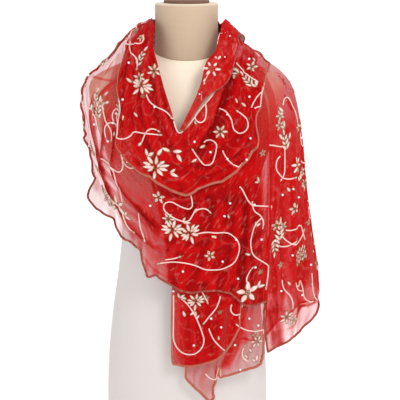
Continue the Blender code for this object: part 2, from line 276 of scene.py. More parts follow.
# Painted highlight: the paler colour of the block's rounded top rim.
RIM_HIGHLIGHT = (0.80, 0.66, 0.50, 1)
CAP_BROWN = (0.26, 0.135, 0.080, 1)
CAP_DARK = (0.15, 0.070, 0.040, 1)


def linen_colour(wire):
    """Tan cloth in faint level bands, and the rim above the top of the block's side painted paler as a
    highlight.
    """
    place = wire.place()
    bands = wire.node("ShaderNodeMapping", inputs={"Vector": place, "Scale": (4.0, 4.0, 60.0)}).noise(3.0)
    worn = (bands * 0.35).tint(NECK_TAN, NECK_WORN)
    return place.part(2).ramp(NECK_TOP - RIM_ROUND, NECK_TOP).tint(worn, RIM_HIGHLIGHT)


def linen_weave(wire):
    """Uneven threads, and the weft as level waves up the block."""
    place = wire.place()
    return place.noise(700.0) * 0.5 + place.wave(260.0, 1.5, bands_direction="Z") * 0.5


def wood_colour(wire):
    """Brown wood with growth rings round the middle of the disc."""
    return wire.place().wave(55.0, 3.0, wave_type="RINGS", rings_direction="Z").tint(CAP_BROWN, CAP_DARK)


def turned_piece(name, rims, material):
    """Rings round the neck's axis from pairs of a radius and a height, which may vary round the ring."""
    points = np.array([
        np.stack([r * np.sin(turn), -r * np.cos(turn), np.broadcast_to(z, turn.shape)], axis=-1)
        for r, z in rims
    ])
    return put_mesh(name, points, turned_faces(len(rims), FORM_AROUND), material)


def round_top(radius, top, size):
    """Rims of a quarter circle, from a block's side over to its top."""
    return [(radius - size * (1 - np.cos(q)), top - size * (1 - np.sin(q))) for q in quarter]


quarter = np.linspace(0, np.pi / 2, ROUND_STEPS)
seam_z = NECK_SEAM - NECK_TILT * np.cos(turn) + SEAM_GAP
low_curve = [
    (NECK_RADIUS - SEAM_ROUND * (1 - np.sin(q)), seam_z + SEAM_ROUND * (1 - np.cos(q))) for q in quarter
]
side = [
    (NECK_RADIUS, seam_z + (NECK_TOP - RIM_ROUND - seam_z) * share)
    for share in np.linspace(0.1, 1, SIDE_RINGS)[:-1]
]
rim = round_top(NECK_RADIUS, NECK_TOP, RIM_ROUND)
linen = finish("neck_linen", linen_colour, 0.9, linen_weave, 0.0005, Sheen_Weight=0.2)
neck = turned_piece("form_neck_cover", low_curve + side + rim, linen)
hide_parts("form_neck")

cap_low = NECK_TOP + SEAM_GAP
cap_rims = [(CAP_RADIUS, cap_low), *round_top(CAP_RADIUS, cap_low + CAP_RISE, CAP_BEVEL)]
cap = turned_piece("form_cap_disc", cap_rims, finish("cap_wood", wood_colour, 0.7))
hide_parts("form_cap")


# The stretch of the scarf behind the neck: sheer red crepe chiffon, bunched against the neck block and the
# top of the back, with an overlocked edge and embroidered vines. It carries on into all the others.

# Chart of the cloth, as a dressmaker charts a cape: an angle round the neck (0 at the front, 90 at the
# right, 180 behind, -90 at the left) and a depth down the cloth from the neck. Every stretch and stitch is
# placed on it.
DRAPE_RINGS = np.array((
    # depth, left_r, left_z, front_r, front_z, right_r, right_z, back_r, back_z
    (0, 63, 776, 63, 752, 63, 768, 59.7, 780),
    (30, 88, 766, 73, 726, 90, 744, 60.2, 750),
    (60, 113, 748, 80, 700, 116, 722, 66.5, 723),
    (95, 137, 713, 90, 668, 146, 703, 82.5, 699),
    (130, 163, 692, 101, 635, 176, 683, 98, 668),
    (165, 187, 669, 111, 602, 199, 657, 110, 635),
    (200, 198, 638, 119, 568, 212, 624, 118, 600),
    (270, 194, 568, 127, 500, 225, 556, 124, 530),
    (350, 179, 490, 129, 420, 236, 477, 124, 450),
    (430, 170, 411, 127, 340, 244, 398, 126, 370),
    (520, 160, 322, 128, 250, 251, 308, 130, 280),
    (620, 160, 222, 130, 150, 257, 208, 134, 180),
    (720, 162, 122, 131, 50, 260, 108, 136, 80),
)) / MM


def unit(vectors):
    """The vectors, each one long."""
    return vectors / np.linalg.norm(vectors, axis=-1, keepdims=True)


def rest_surface(angle, depth):
    """Point of the innermost cloth. Each ring is an ellipse from its four radii, and its height swings
    between its side height and its front or back height with the square of the cosine."""
    turn = np.radians(angle)
    ring = smooth(depth, DRAPE_RINGS[:, 0], DRAPE_RINGS[:, 1:])
    left_r, left_z, front_r, front_z, right_r, right_z, back_r, back_z = np.moveaxis(ring, -1, 0)
    at_right, at_front = np.sin(turn) > 0, np.cos(turn) > 0
    side_r, side_z = np.where(at_right, right_r, left_r), np.where(at_right, right_z, left_z)
    face_r, face_z = np.where(at_front, front_r, back_r), np.where(at_front, front_z, back_z)
    height = side_z + (face_z - side_z) * np.cos(turn) ** 2
    return np.stack([side_r * np.sin(turn), -face_r * np.cos(turn), height], axis=-1)


def outward(angle, depth):
    """Unit normal of the rest surface, from small steps along its two directions."""
    across = rest_surface(angle + 0.5, depth) - rest_surface(angle - 0.5, depth)
    along = rest_surface(angle, depth + 0.004) - rest_surface(angle, depth - 0.004)
    return unit(np.cross(along, across))


def hump(value, middle, reach):
    """Soft ridge, half of one plus a cosine: 1 at its middle and 0 a reach away on both sides."""
    part = np.clip(np.abs(value - middle) / reach, 0, 1)
    return 0.5 + 0.5 * np.cos(np.pi * part)


def rise(value, start, end):
    """Soft step from 0 at start to 1 at end: three squares less two cubes of the share between them."""
    part = np.clip((value - start) / (end - start), 0, 1)
    return part * part * (3 - 2 * part)


def look_up(value, rows):
    """A table's second column where its first column has a value, in straight lines between its rows."""
    return np.interp(value, *np.array(rows).T)


def gathers(share, seed, count=9, finest=46.0):
    """Uneven ripples over a share from 0 to 1, about -1 to 1: a sum of waves of unlike lengths and phases."""
    draw = np.random.default_rng(seed)
    spans = ((6, finest), (0, 2 * np.pi), (0.3, 1))
    waves = zip(*(draw.uniform(low, high, count) for low, high in spans))
    return sum(size * np.cos(2 * np.pi * pace * share + start) for pace, start, size in waves) / count**0.5


def ripples(share, other, seed, finest=40.0):
    """Ripples over one share that wander, swell and fade along the other."""
    wander = 0.02 * gathers(other, seed + 1, 5, 9.0)
    swell = 0.6 + 0.6 * gathers(other + 0.3 * share, seed + 2, 5, 8.0)
    return gathers(share + wander, seed, 11, finest) * swell


def beside(places, route):
    """For each place: how far a route of points passes, the gap to it, its direction there, and the share of
    its length. Each leg's nearest point is where the gap is square to the leg, kept within its ends."""
    start, step = route[:-1], np.diff(route, axis=0)
    share = np.clip(np.einsum("nsk,sk->ns", places[:, None] - start, step) / np.sum(step**2, axis=1), 0, 1)
    gap = places[:, None] - start - share[..., None] * step
    far = np.linalg.norm(gap, axis=-1)
    pick = np.arange(len(places)), far.argmin(axis=1)
    return far[pick], gap[pick], step[pick[1]], (pick[1] + share[pick]) / len(step)


def spread(grid, reach):
    """Running mean over a square of points, so many to each side, with the rim's values carried on."""
    for axis in (0, 1):
        pads = [(reach + 1, reach) if axis == k else (0, 0) for k in (0, 1)]
        total = np.cumsum(np.pad(grid, pads, mode="edge"), axis=axis)
        count = grid.shape[axis]
        last = np.take(total, np.arange(2 * reach + 1, 2 * reach + 1 + count), axis=axis)
        grid = (last - np.take(total, np.arange(count), axis=axis)) / (2 * reach + 1)
    return grid


def sample(grid, column, row):
    """Value of a grid between its points, in proportion to how near each of the four round a place is."""
    left = np.clip(column.astype(int), 0, grid.shape[0] - 2)
    low = np.clip(row.astype(int), 0, grid.shape[1] - 2)
    right, up = column - left, row - low
    if grid.ndim > 2:
        right, up = right[..., None], up[..., None]
    near = grid[left, low] * (1 - up) + grid[left, low + 1] * up
    far = grid[left + 1, low] * (1 - up) + grid[left + 1, low + 1] * up
    return near * (1 - right) + far * right


DEGREE_WIDTH = 0.0021
FOLD_STEPS = 24
SHORTEST_SPOKE = 0.04
# Painted shade: the hollows of folds get more plies and the ridges fewer, over this reach and depth.
HOLLOW_SHADE_REACH = 9
HOLLOW_SHADE_DEPTH = 0.0020


class Stretch:
    """One stretch of the scarf, ruled from its inner edge to its outer edge on a grid of chart places. Its
    hem rows are a share along the outer edge and how far that edge stands out there. Its folds are soft
    ridges along routes on the chart, and each one adds plies where the cloth doubles."""

    def __init__(self, stations, hem, lift, plies, folds, columns, rows):
        self.along, self.across = np.meshgrid(
            np.linspace(0, 1, columns), np.linspace(0, 1, rows), indexing="ij"
        )
        stations = np.array(stations) / (1, MM, 1, MM, 1)
        edges = smooth(self.along[:, 0], np.linspace(0, 1, len(stations)), stations)[:, None, :]
        inner, outer = edges[..., :2], edges[..., 2:4]
        place = inner + (outer - inner) * self.across[..., None]
        place[..., 0] += edges[..., 4] * 4 * self.across * (1 - self.across)
        rim = rest_surface(place[:, -1, 0], place[:, -1, 1])
        spoke = np.linalg.norm(rim - rest_surface(place[:, 0, 0], place[:, 0, 1]), axis=1)
        out = look_up(self.along[:, 0], hem) / MM / np.maximum(spoke, SHORTEST_SPOKE)
        place += (out[:, None] * self.across**2)[..., None] * (outer - inner)
        self.angle, self.depth = place[..., 0], place[..., 1]
        self.fold(lift, plies, folds)

    def fold(self, lift, plies, folds):
        """Lifts the sheet off the rest surface. A fold falls away from its route as a bell curve, wider by
        its lean on one side and narrower on the other, and fades out at both ends. Plies are raised in a
        hollow and lowered on a ridge, by how far it lies below the mean level round it: painted shade in the
        hollows and painted light on the ridges, partly from cloth heaped in the hollows."""
        rest = rest_surface(self.angle, self.depth)
        upward = outward(self.angle, self.depth)
        level = lift(self.angle, self.depth, self.along, self.across)
        self.plies = plies(self.angle, self.depth, self.along, self.across)
        for width, lean, ridge, doubled, route in folds:
            angle, depth = smooth(np.linspace(0, 1, FOLD_STEPS), np.linspace(0, 1, len(route)), route).T
            far, gap, step, share = beside(rest.reshape(-1, 3), rest_surface(angle, depth / MM))
            side = np.sign(np.einsum("nk,nk->n", gap, np.cross(upward.reshape(-1, 3), step)))
            profile = np.exp(-((far * MM / (width * (1 + lean * side))) ** 2))
            profile = (profile * rise(share, 0, 0.2) * rise(-share, -1, -0.85)).reshape(level.shape)
            level = level + ridge / MM * profile
            self.plies = self.plies + doubled * profile
        # Painted shade: more plies, so deeper red and more cover, in the hollows; fewer on the ridges as
        # painted light.
        hollow_shade = spread(level, HOLLOW_SHADE_REACH) - level
        self.plies = self.plies * (1 + np.clip(hollow_shade / HOLLOW_SHADE_DEPTH, -0.35, 0.6))
        self.points = rest + upward * level[..., None]
        self.normals = unit(np.cross(np.gradient(self.points, axis=1), np.gradient(self.points, axis=0)))

    def sheet(self, name, flat, area, rests_on, trims):
        """The cloth itself, one layer of it, with UV places measured along it and across it."""
        middle = self.points.shape[1] // 2
        step_along = np.linalg.norm(np.diff(self.points[:, middle], axis=0), axis=1)
        step_across = np.linalg.norm(np.diff(self.points, axis=1), axis=2)
        u = np.concatenate([[0], np.cumsum(step_along)])[:, None] + 0 * self.along
        v = np.concatenate([np.zeros((len(u), 1)), np.cumsum(step_across, axis=1)], axis=1)
        faces = grid_faces(*self.angle.shape)
        uv, plies = np.stack([u, v], axis=-1), np.maximum(self.plies, THINNEST)
        piece = put_mesh(name + "_cloth", self.points, faces, chiffon, uv, plies)
        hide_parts(name)

    def find(self, angle, depth, guess=None):
        """Column and row of chart places: the nearest grid point or the guess, then Newton steps."""
        if guess is None:
            angles, depths = self.angle[::3, ::3], self.depth[::3, ::3]
            far = (np.ravel(angle)[:, None] - angles.ravel()) ** 2 * DEGREE_WIDTH**2
            far = far + (np.ravel(depth)[:, None] - depths.ravel()) ** 2
            guess = [3.0 * part for part in np.unravel_index(far.argmin(axis=1), angles.shape)]
            guess = [part.reshape(np.shape(angle)) for part in guess]
        column, row = guess
        slopes = [np.gradient(grid, axis=axis) for grid in (self.angle, self.depth) for axis in (0, 1)]
        for _ in range(6):
            off_angle = angle - sample(self.angle, column, row)
            off_depth = depth - sample(self.depth, column, row)
            angle_c, angle_r, depth_c, depth_r = (sample(slope, column, row) for slope in slopes)
            scale = angle_c * depth_r - angle_r * depth_c
            column = column + np.clip((off_angle * depth_r - off_depth * angle_r) / scale, -9, 9)
            row = row + np.clip((off_depth * angle_c - off_angle * depth_c) / scale, -9, 9)
            column = np.clip(column, 0, self.angle.shape[0] - 1)
            row = np.clip(row, 0, self.angle.shape[1] - 1)
        return column, row

    def lay(self, angle, depth, guess=None):
        """Point and normal of the folded cloth at chart places."""
        place = self.find(angle, depth, guess)
        return sample(self.points, *place), unit(sample(self.normals, *place))


def degrees_per_metre(angle, depth):
    """How far the chart's angle turns in a metre round the cloth at a place."""
    step = rest_surface(angle + 0.5, depth) - rest_surface(angle - 0.5, depth)
    return 1 / np.linalg.norm(step, axis=-1)


THINNEST = 0.5
CLEAR_SHARE = 0.56
RED_LIGHT = (0.54, 0.002, 0.003, 1)
RED_DEEP = (0.21, 0.0002, 0.0006, 1)
STITCH_ROSE = (0.66, 0.22, 0.18, 1)


def ply_count(wire):
    """How many plies of cloth lie at a point, which each stretch's mesh carries. The count also holds painted
    shade: it is raised in the hollows of folds and under the collar's hem, and lowered on ridges and over
    the form as painted light.
    """
    return wire.node("ShaderNodeAttribute", {"attribute_name": "plies"}, output=2)


def chiffon_colour(wire):
    """Brighter where the cloth is single, deeper where it is heaped and where its plies carry painted shade,
    and mottled by the crepe. Embroidery on the plies below shows through as rose stitches and thin curling
    lines, where there are several."""
    plies, weave = ply_count(wire), wire.weave()
    red = (plies + 6 * weave.noise(38.0, 4.0)).ramp(4.5, 15.0).tint(RED_LIGHT, RED_DEEP)
    stitches = weave.noise(95.0, 3.0).ramp(0.56, 0.78)
    curl = weave.noise(17.0, 0.0) - 0.5
    curl = curl.maths("ABSOLUTE", curl).ramp(0.020, 0.008)
    return ((stitches * 0.33 + curl * 0.07) * plies.ramp(1.9, 3.8)).tint(red, STITCH_ROSE)


def chiffon_cover(wire):
    """Share of light stopped: one less the share that all the plies let through, uneven with the crepe."""
    weave = wire.weave()
    uneven = 0.45 + 0.5 * weave.noise(420.0) + 0.6 * weave.noise(45.0, 3.0)
    return 1 - CLEAR_SHARE ** (ply_count(wire) * uneven)


def chiffon_crepe(wire):
    """Crinkle of the hard-twisted threads over soft wrinkles."""
    weave = wire.weave()
    return weave.noise(420.0) * 0.25 + weave.noise(60.0, 3.0)


chiffon = finish(
    "red_chiffon", chiffon_colour, 0.60, chiffon_crepe, 0.0016, chiffon_cover, Specular_IOR_Level=0.04,
    Sheen_Weight=0.03, Sheen_Tint=(1.0, 0.25, 0.22, 1),
)

THREAD_RED = (0.23, 0.010, 0.009, 1)
THREAD_GOLD = (0.44, 0.120, 0.078, 1)
WRAP_PITCH = 0.0024
WRAP_SWELL = 0.16


def overlock_colour(wire, gold_from=0.56):
    """Red and gold-brown threads wrapped in turn, more gold on some stretches than others."""
    weave = wire.weave()
    gold = weave.wave(1 / (2 * np.pi), 0.6) * 0.5 + weave.noise(0.05, 1.0)
    return gold.ramp(gold_from, gold_from + 0.5).tint(THREAD_RED, THREAD_GOLD)


def rose_colour(wire):
    """The same roll where the gold-brown thread lies on top, as along the collar."""
    return overlock_colour(wire, 0.15)


overlock = finish("overlock_thread", overlock_colour, 0.6, Specular_IOR_Level=0.25)
rose_thread = finish("overlock_rose", rose_colour, 0.6, Specular_IOR_Level=0.25)
PLAIN_ROLL = ((0, 2.1),)
ROLL_SIDES = 8
ROLL_STEP = 0.0008


def roll_points(path, upward, half_width, half_height, sides):
    """Rings along rolls: at each point of a path, an ellipse square to it, its height along the normal."""
    tangent = unit(np.gradient(path, axis=-2))
    side = unit(np.cross(tangent, upward))
    upward = np.cross(side, tangent)
    turn = np.linspace(0, 2 * np.pi, sides, endpoint=False)[:, None]
    wide = np.asarray(half_width)[..., None, None] * np.cos(turn)
    high = np.asarray(half_height)[..., None, None] * np.sin(turn)
    return path[..., None, :] + side[..., None, :] * wide + upward[..., None, :] * high


def roll_faces(rolls, count, sides):
    """Quads round each of some rolls of rings, and a flat face at both of its ends."""
    at = np.arange(rolls * count * sides).reshape(rolls, count, sides)
    on = np.roll(at, -1, axis=2)
    quads = np.stack([at[:, :-1], on[:, :-1], on[:, 1:], at[:, 1:]], axis=-1).reshape(-1, 4)
    return [*quads.tolist(), *at[:, 0, ::-1].tolist(), *at[:, -1].tolist()]


def overlocked(name, stretch, free, thread, radii):
    """Overlocked roll along the outer edge and the free shares of the two end lines, its radius from rows of
    a share along it and millimetres. Its wraps swell and narrow it in a helix, a turn in each wrap pitch."""
    rows = stretch.points.shape[1]
    first, last = (rows - 1 - int(round(share * (rows - 1))) for share in free)
    rim, upward = (
        np.concatenate([grid[0, first:-1], grid[:, -1], grid[-1, last:-1][::-1]])
        for grid in (stretch.points, stretch.normals)
    )
    length = np.concatenate([[0], np.cumsum(np.linalg.norm(np.diff(rim, axis=0), axis=1))])
    at = np.linspace(0, length[-1], int(length[-1] / ROLL_STEP))
    rim, upward = (
        np.stack([np.interp(at, length, grid[:, axis]) for axis in range(3)], axis=-1)
        for grid in (rim, upward)
    )
    tangent = unit(np.gradient(rim, axis=0))
    thick = look_up(at / length[-1], radii) / MM
    rim = rim + unit(np.cross(tangent, upward)) * thick[:, None] * 0.6
    turn = np.linspace(0, 2 * np.pi, ROLL_SIDES, endpoint=False)
    wraps = at[:, None] / WRAP_PITCH + turn / (2 * np.pi)
    rings = roll_points(rim, upward, thick, thick, ROLL_SIDES)
    swell = 1 - WRAP_SWELL * np.cos(2 * np.pi * wraps)[..., None]
    points = rim[:, None] + (rings - rim[:, None]) * swell
    uv = np.stack([wraps * 2 * np.pi, turn + 0 * wraps], axis=-1)
    faces = roll_faces(1, len(at), ROLL_SIDES)
    piece = put_mesh(name + "_overlock", points, faces, thread, uv)
    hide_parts(name + "_edging")
    return piece


CORD_RADIUS = 0.00125
VINE_STEPS = 80
VINE_SIDES = 6
PETAL_RINGS = 6
PETAL_SIDES = 8
STITCH_LIFT = 0.0006
OUTLINE_STEPS = 15
OUTLINE_SIDES = 4
OUTLINE_RADIUS = 0.00065
BALL_LEVELS = np.radians([-75, -25, 25, 75])
BALL_SIDES = 6
BEAD_RADIUS = 0.0011
PEARL_RADIUS = 0.0025
CORD_CREAM = (0.84, 0.56, 0.50, 1)
CORD_ROSE = (0.72, 0.40, 0.36, 1)
PETAL_WHITE = (0.94, 0.84, 0.77, 1)
PETAL_FOOT = (0.80, 0.34, 0.27, 1)
BEAD_GOLD = (0.50, 0.26, 0.12, 1)
BEAD_DARK = (0.24, 0.08, 0.04, 1)
PEARL_WHITE = (0.94, 0.90, 0.88, 1)
PEARL_ROSE = (0.92, 0.74, 0.70, 1)


def cord_colour(wire):
    """Two plies twisted together, with a darker line between them."""
    return (wire.weave().wave(0.3, bands_direction="DIAGONAL") * 0.45).tint(CORD_CREAM, CORD_ROSE)


def satin_colour(wire):
    """White floss, a little pinker towards the petal's foot."""
    return ((1 - wire.weave().part(0)) * 0.7).tint(PETAL_WHITE, PETAL_FOOT)


def satin_ridges(wire):
    """Floss laid side by side across the petal."""
    return wire.weave().wave(6.0, 1.0)


def bead_colour(wire):
    """Gold lining seen through glass, no two beads quite alike."""
    return wire.place().noise(300.0).tint(BEAD_GOLD, BEAD_DARK)


def pearl_colour(wire):
    """White with a faint rose cloud."""
    return (wire.place().noise(160.0) * 0.5).tint(PEARL_WHITE, PEARL_ROSE)


cord = finish("vine_cord", cord_colour, 0.6, Sheen_Weight=0.2)
satin = finish("petal_satin", satin_colour, 0.38, satin_ridges, 0.0003, Sheen_Weight=0.3)
gold = finish("gold_beads", bead_colour, 0.28, Metallic=0.65, Coat_Weight=0.4)
pearl = finish("pearl_gloss", pearl_colour, 0.22, Coat_Weight=0.5)


def polar(reach, turn):
    """Place at a reach from a motif's middle, in a direction in degrees."""
    return reach * np.cos(np.radians(turn)), reach * np.sin(np.radians(turn))


def star(petals, length, width, hearts):
    """Flower: petals round a ring of beads. Petal rows are a foot, a direction, a length and a width."""
    foot = 1 - length
    rows = [(*polar(foot, turn), turn, length, width) for turn in np.arange(petals) * 360 / petals + 90]
    return rows, [polar(0.2, turn) for turn in np.arange(hearts) * 360 / hearts] + [(0.0, 0.0)]


def spray(pairs):
    """Sprig: pairs of narrow leaves up a stem of beads, and one leaf at its tip."""
    rows = [(0, k / pairs, 90 + lean, 0.55 - 0.08 * k, 0.17) for k in range(pairs) for lean in (-38, 38)]
    return rows + [(0, 1, 90, 0.5, 0.17)], [(0, y) for y in np.linspace(0, 0.95, 3 * pairs)]


def sheaf(buds):
    """Sheaf: upright buds in three staggered rows, each over a band of beads."""
    rows = [
        ((k - buds / 2) * 0.2, 0.45 * row + 0.15 * (k % 2), 90 - (k - buds / 2) * 4, 0.42, 0.15)
        for k in range(buds) for row in range(3)
    ]
    return rows, [((k - buds / 2) * 0.2, 0.45 * row - 0.08) for k in range(buds + 1) for row in range(3)]


def posy(petals):
    """Full flower: petals of uneven lengths, crowded unevenly round two clusters of beads."""
    at = np.arange(petals)
    turns = at * 360 / petals + 13 * np.sin(5 * at)
    foot = 0.24 + 0.10 * np.sin(2.1 * at)
    reach = 0.66 + 0.14 * np.cos(3.7 * at)
    rows = [(*polar(f, t), t, r, 0.24) for t, f, r in zip(turns, foot, reach)]
    rows += [(0.1, -0.05, 35, 0.4, 0.2), (-0.1, 0.05, 215, 0.4, 0.2)]
    return rows, [(0.14 * np.cos(t), 0.14 * np.sin(t)) for t in turns[:6]]


def gold_flower(petals):
    """Small flower: short round petals, each with a bead, round three beads at its heart."""
    rows, hearts = star(petals, 0.8, 0.42, 3)
    return rows, hearts + [polar(0.62, row[2]) for row in rows]


def coil(turns):
    """Round boss: two rings of beads."""
    return [], [polar(reach, turn * 360 / turns) for reach in (0.5, 1.0) for turn in range(turns)]


MOTIFS = {
    "star": star(6, 0.78, 0.33, 6),
    "bloom": posy(10),
    "lily": star(5, 0.80, 0.40, 8),
    "gold": gold_flower(5),
    "coil": coil(10),
    "spray": spray(3),
    "sheaf": sheaf(7),
    "bud": ([(0, 0, 90, 1.0, 0.40)], []),
    "twin": ([(0, 0, 60, 1.0, 0.36), (0, 0, 125, 0.85, 0.34)], [(0, -0.1)]),
}


def grow(vines):
    """Chart places and end headings of vines. A row is a start, a heading, and pairs of a length and a curl
    in degrees a centimetre. A vine grows in even steps, and its heading turns by its leg's curl."""
    angle, depth, heading = np.array([row[:3] for row in vines]).T / [[1], [MM], [1]]
    legs = [np.reshape(row[3:], (-1, 2)) / (MM, 1) for row in vines]
    reach = np.array([leg[:, 0].sum() for leg in legs])
    share = (np.arange(VINE_STEPS - 1) + 0.5) / (VINE_STEPS - 1)
    curls = np.array([
        leg[np.searchsorted(leg[:, 0].cumsum()[:-1], share * whole), 1] for leg, whole in zip(legs, reach)
    ])
    step = reach / (VINE_STEPS - 1)
    places = [(angle, depth)]
    for curl in curls.T:
        heading = heading + curl * step * 100
        angle = angle + np.cos(np.radians(heading)) * step * degrees_per_metre(angle, depth)
        depth = depth - np.sin(np.radians(heading)) * step
        places.append((angle, depth))
    return np.moveaxis(np.array(places), 0, 2), heading


def ball_points(stretch, angle, depth, radius):
    """Balls on the cloth: rings up each one's axis, which is the cloth's normal."""
    centre, upward = stretch.lay(angle, depth)
    side = unit(np.cross(upward, [0.3, 0.2, 1.0]))
    forward = np.cross(upward, side)
    path = (centre + upward * radius * 0.7)[:, None] + upward[:, None] * radius * np.sin(BALL_LEVELS)[:, None]
    turn = np.linspace(0, 2 * np.pi, BALL_SIDES, endpoint=False)[:, None]
    spokes = side[:, None, None] * np.cos(turn) + forward[:, None, None] * np.sin(turn)
    return path[:, :, None] + radius * np.cos(BALL_LEVELS)[:, None, None] * spokes


def embroider(name, stretch, vines, motifs, pearls):
    """Stitches a stretch. Vines, motifs and pearls are rows of chart places, each laid on the cloth's own
    folds. A petal is a roll as wide as the sine of its share, with an outline, and beads are small balls."""
    trails, headings = grow(vines)
    path, upward = stretch.lay(*trails)
    ends = [("bud", a, d * MM, 7.5, h - 90) for a, d, h in zip(*trails[:, :, -1], headings)]
    radius = np.full(path.shape[:2], CORD_RADIUS)
    rings = roll_points(path + upward * CORD_RADIUS * 0.7, upward, radius, radius * 0.8, VINE_SIDES)
    lengths = np.array([sum(row[3::2]) for row in vines])
    run = lengths[:, None, None] * np.linspace(0, 1, VINE_STEPS)[:, None]
    uv = np.stack(np.broadcast_arrays(run, np.linspace(0, 6, VINE_SIDES)), axis=-1)
    faces = roll_faces(len(vines), VINE_STEPS, VINE_SIDES)
    made = [put_mesh(name + "_vines", rings, faces, cord, uv)]

    petals, beads = [], []
    for kind, angle, depth, size, turn in [*motifs, *ends]:
        size = size / MM
        cos, sin = polar(size, turn)
        leaves, hearts = MOTIFS[kind]
        for x, y, way, length, width in leaves:
            offset = x * cos - y * sin, x * sin + y * cos
            petals.append((angle, depth / MM, *offset, way + turn, length * size, width * size))
        beads += [(angle, depth / MM, x * cos - y * sin, x * sin + y * cos) for x, y in hearts]

    angle, depth, x, y, way, length, width = np.array(petals).T[..., None]
    scale = degrees_per_metre(angle, depth)
    guess = stretch.find(angle, depth)
    cos, sin = np.cos(np.radians(way)), np.sin(np.radians(way))

    def petal_places(share, bulge):
        """Places just above the cloth at a share of each petal's length and a bulge to its side."""
        leaf_x, leaf_y = x + cos * length * share - sin * bulge, y + sin * length * share + cos * bulge
        near = [part + 0 * leaf_x for part in guess]
        points, upward = stretch.lay(angle + leaf_x * scale, depth - leaf_y, near)
        return points + upward * STITCH_LIFT, upward

    along = np.linspace(0, 1, PETAL_RINGS)
    half = width / 2 * np.maximum(np.sin(np.pi * along**0.8) ** 0.8, 0.08)
    rings = roll_points(*petal_places(along, 0), half, half * 0.35, PETAL_SIDES)
    uv = np.stack(np.broadcast_arrays(along[:, None], np.linspace(0, 1, PETAL_SIDES)), axis=-1)
    uv = np.broadcast_to(uv, (len(petals), *uv.shape))
    faces = roll_faces(len(petals), PETAL_RINGS, PETAL_SIDES)
    made.append(put_mesh(name + "_petals", rings, faces, satin, uv))

    loop = np.linspace(0, 2 * np.pi, OUTLINE_STEPS)
    share = (1 - np.cos(loop)) / 2
    bulge = width / 2 * np.sin(np.pi * share**0.8) ** 0.8 * np.sign(np.sin(loop)) * 1.08
    radius = np.full((len(petals), OUTLINE_STEPS), OUTLINE_RADIUS)
    outlines = roll_points(*petal_places(share, bulge), radius, radius, OUTLINE_SIDES).reshape(-1, 3)
    faces = roll_faces(len(petals), OUTLINE_STEPS, OUTLINE_SIDES)
    spot, down, right, up = np.array(beads).T if beads else np.zeros((4, 0))
    balls = ball_points(stretch, spot + right * degrees_per_metre(spot, down), down - up, BEAD_RADIUS)
    for face in roll_faces(len(beads), len(BALL_LEVELS), BALL_SIDES):
        faces.append([corner + len(outlines) for corner in face])
    points = np.concatenate([outlines, balls.reshape(-1, 3)])
    made.append(put_mesh(name + "_gold", points, faces, gold))

    spot, down = np.array(pearls).T
    balls = ball_points(stretch, spot, down / MM, PEARL_RADIUS)
    faces = roll_faces(len(pearls), len(BALL_LEVELS), BALL_SIDES)
    made.append(put_mesh(name + "_pearls", balls, faces, pearl))
    return made


GOLDEN = 0.618034
STREWN = (
    # kind, size
    ("star", 14), ("gold", 5.5), ("bud", 9), ("spray", 26), ("gold", 5.5), ("lily", 15), ("twin", 9),
)


def strewn(seed, angles, depths, count):
    """Vines, motifs and pearls for a part of the cloth that is seen from the side or behind: as many places
    as asked, spread evenly by a golden-ratio walk over the part and turned at random."""
    draw = np.random.default_rng(seed)
    angle = angles[0] + (angles[1] - angles[0]) * ((0.5 + GOLDEN * np.arange(count)) % 1)
    depth = depths[0] + (depths[1] - depths[0]) * (np.arange(count) + 0.5) / count
    motifs = [
        (kind, a, d, size, draw.uniform(-60, 60))
        for (kind, size), a, d in zip(STREWN * count, angle, depth)
    ]
    vines = [
        (a, d, draw.uniform(0, 360), 40, draw.uniform(-45, 45), 50, draw.uniform(-45, 45))
        for a, d in zip(angle[::2], depth[::2])
    ]
    return vines, motifs, [(a + draw.uniform(-7, 7), d + 17) for a, d in zip(angle[::3], depth[::3])]


def sew(
    name, stretch, flat, area, rests_on, vines, motifs, pearls, free=(0, 0), thread=overlock, radii=PLAIN_ROLL
):
    """Puts a stretch in the scene with its embroidery and its overlocked edge. Its cut size is not used."""
    trims = embroider(name, stretch, vines, motifs, pearls)
    trims.append(overlocked(name, stretch, free, thread, radii))
    stretch.sheet(name, flat, area, rests_on, trims)


LIFT_ON_FORM = 0.0012
BUNCH_HEIGHT = 0.0022
BACK_NECK = (
    # inner_angle, inner_depth, outer_angle, outer_depth, bow
    (-104.4, 0, -98.4, 30, 0),
    (-118, 0, -116, 75, 0),
    (-145, 0, -145, 115, 0),
    (-180, 0, -180, 130, 0),
    (-212, 0, -212, 100, 0),
    (-234, 0, -232, 50, 0),
    (-255.5, 0, -255.5, 48, 0),
)


def back_lift(angle, depth, along, across):
    """Against the neck and the top of the back, bunched into ridges that run round the neck."""
    bunches = 1 + gathers(0.45 * across + 0.06 * along, 31, 9, 40.0)
    return LIFT_ON_FORM + BUNCH_HEIGHT * bunches * rise(along, 0, 0.1) * rise(-along, -1, -0.9)


def back_plies(angle, depth, along, across):
    """Eight plies where the whole width is bunched at the neck, down to two at the edge. It thins out at its
    left end and is heaped at its right end."""
    thinner = rise(-along, -0.24, -0.12) * rise(across, 0.15, 0.35)
    bunched = 2.2 + 6 * rise(-across, -0.8, -0.2) + gathers(0.45 * across + 0.06 * along, 31, 9, 40.0)
    bunched = bunched + 6 * rise(along, 0.72, 0.85)
    return bunched * (1 - 0.6 * thinner)


BACK_HEM = (
    (0, 0), (0.16, 4), (0.24, -5), (0.4, 5), (0.5, -4), (0.66, 5), (0.76, -4), (0.9, 3), (1, 0),
)
back_neck = Stretch(BACK_NECK, BACK_HEM, back_lift, back_plies, (), 260, 52)
sew(
    "back_neck", back_neck, (0.11, 0.36), 0.022, ["form_neck_cover", "form_torso_cover"],
    *strewn(5, (-236, -112), (18, 85), 12),
)


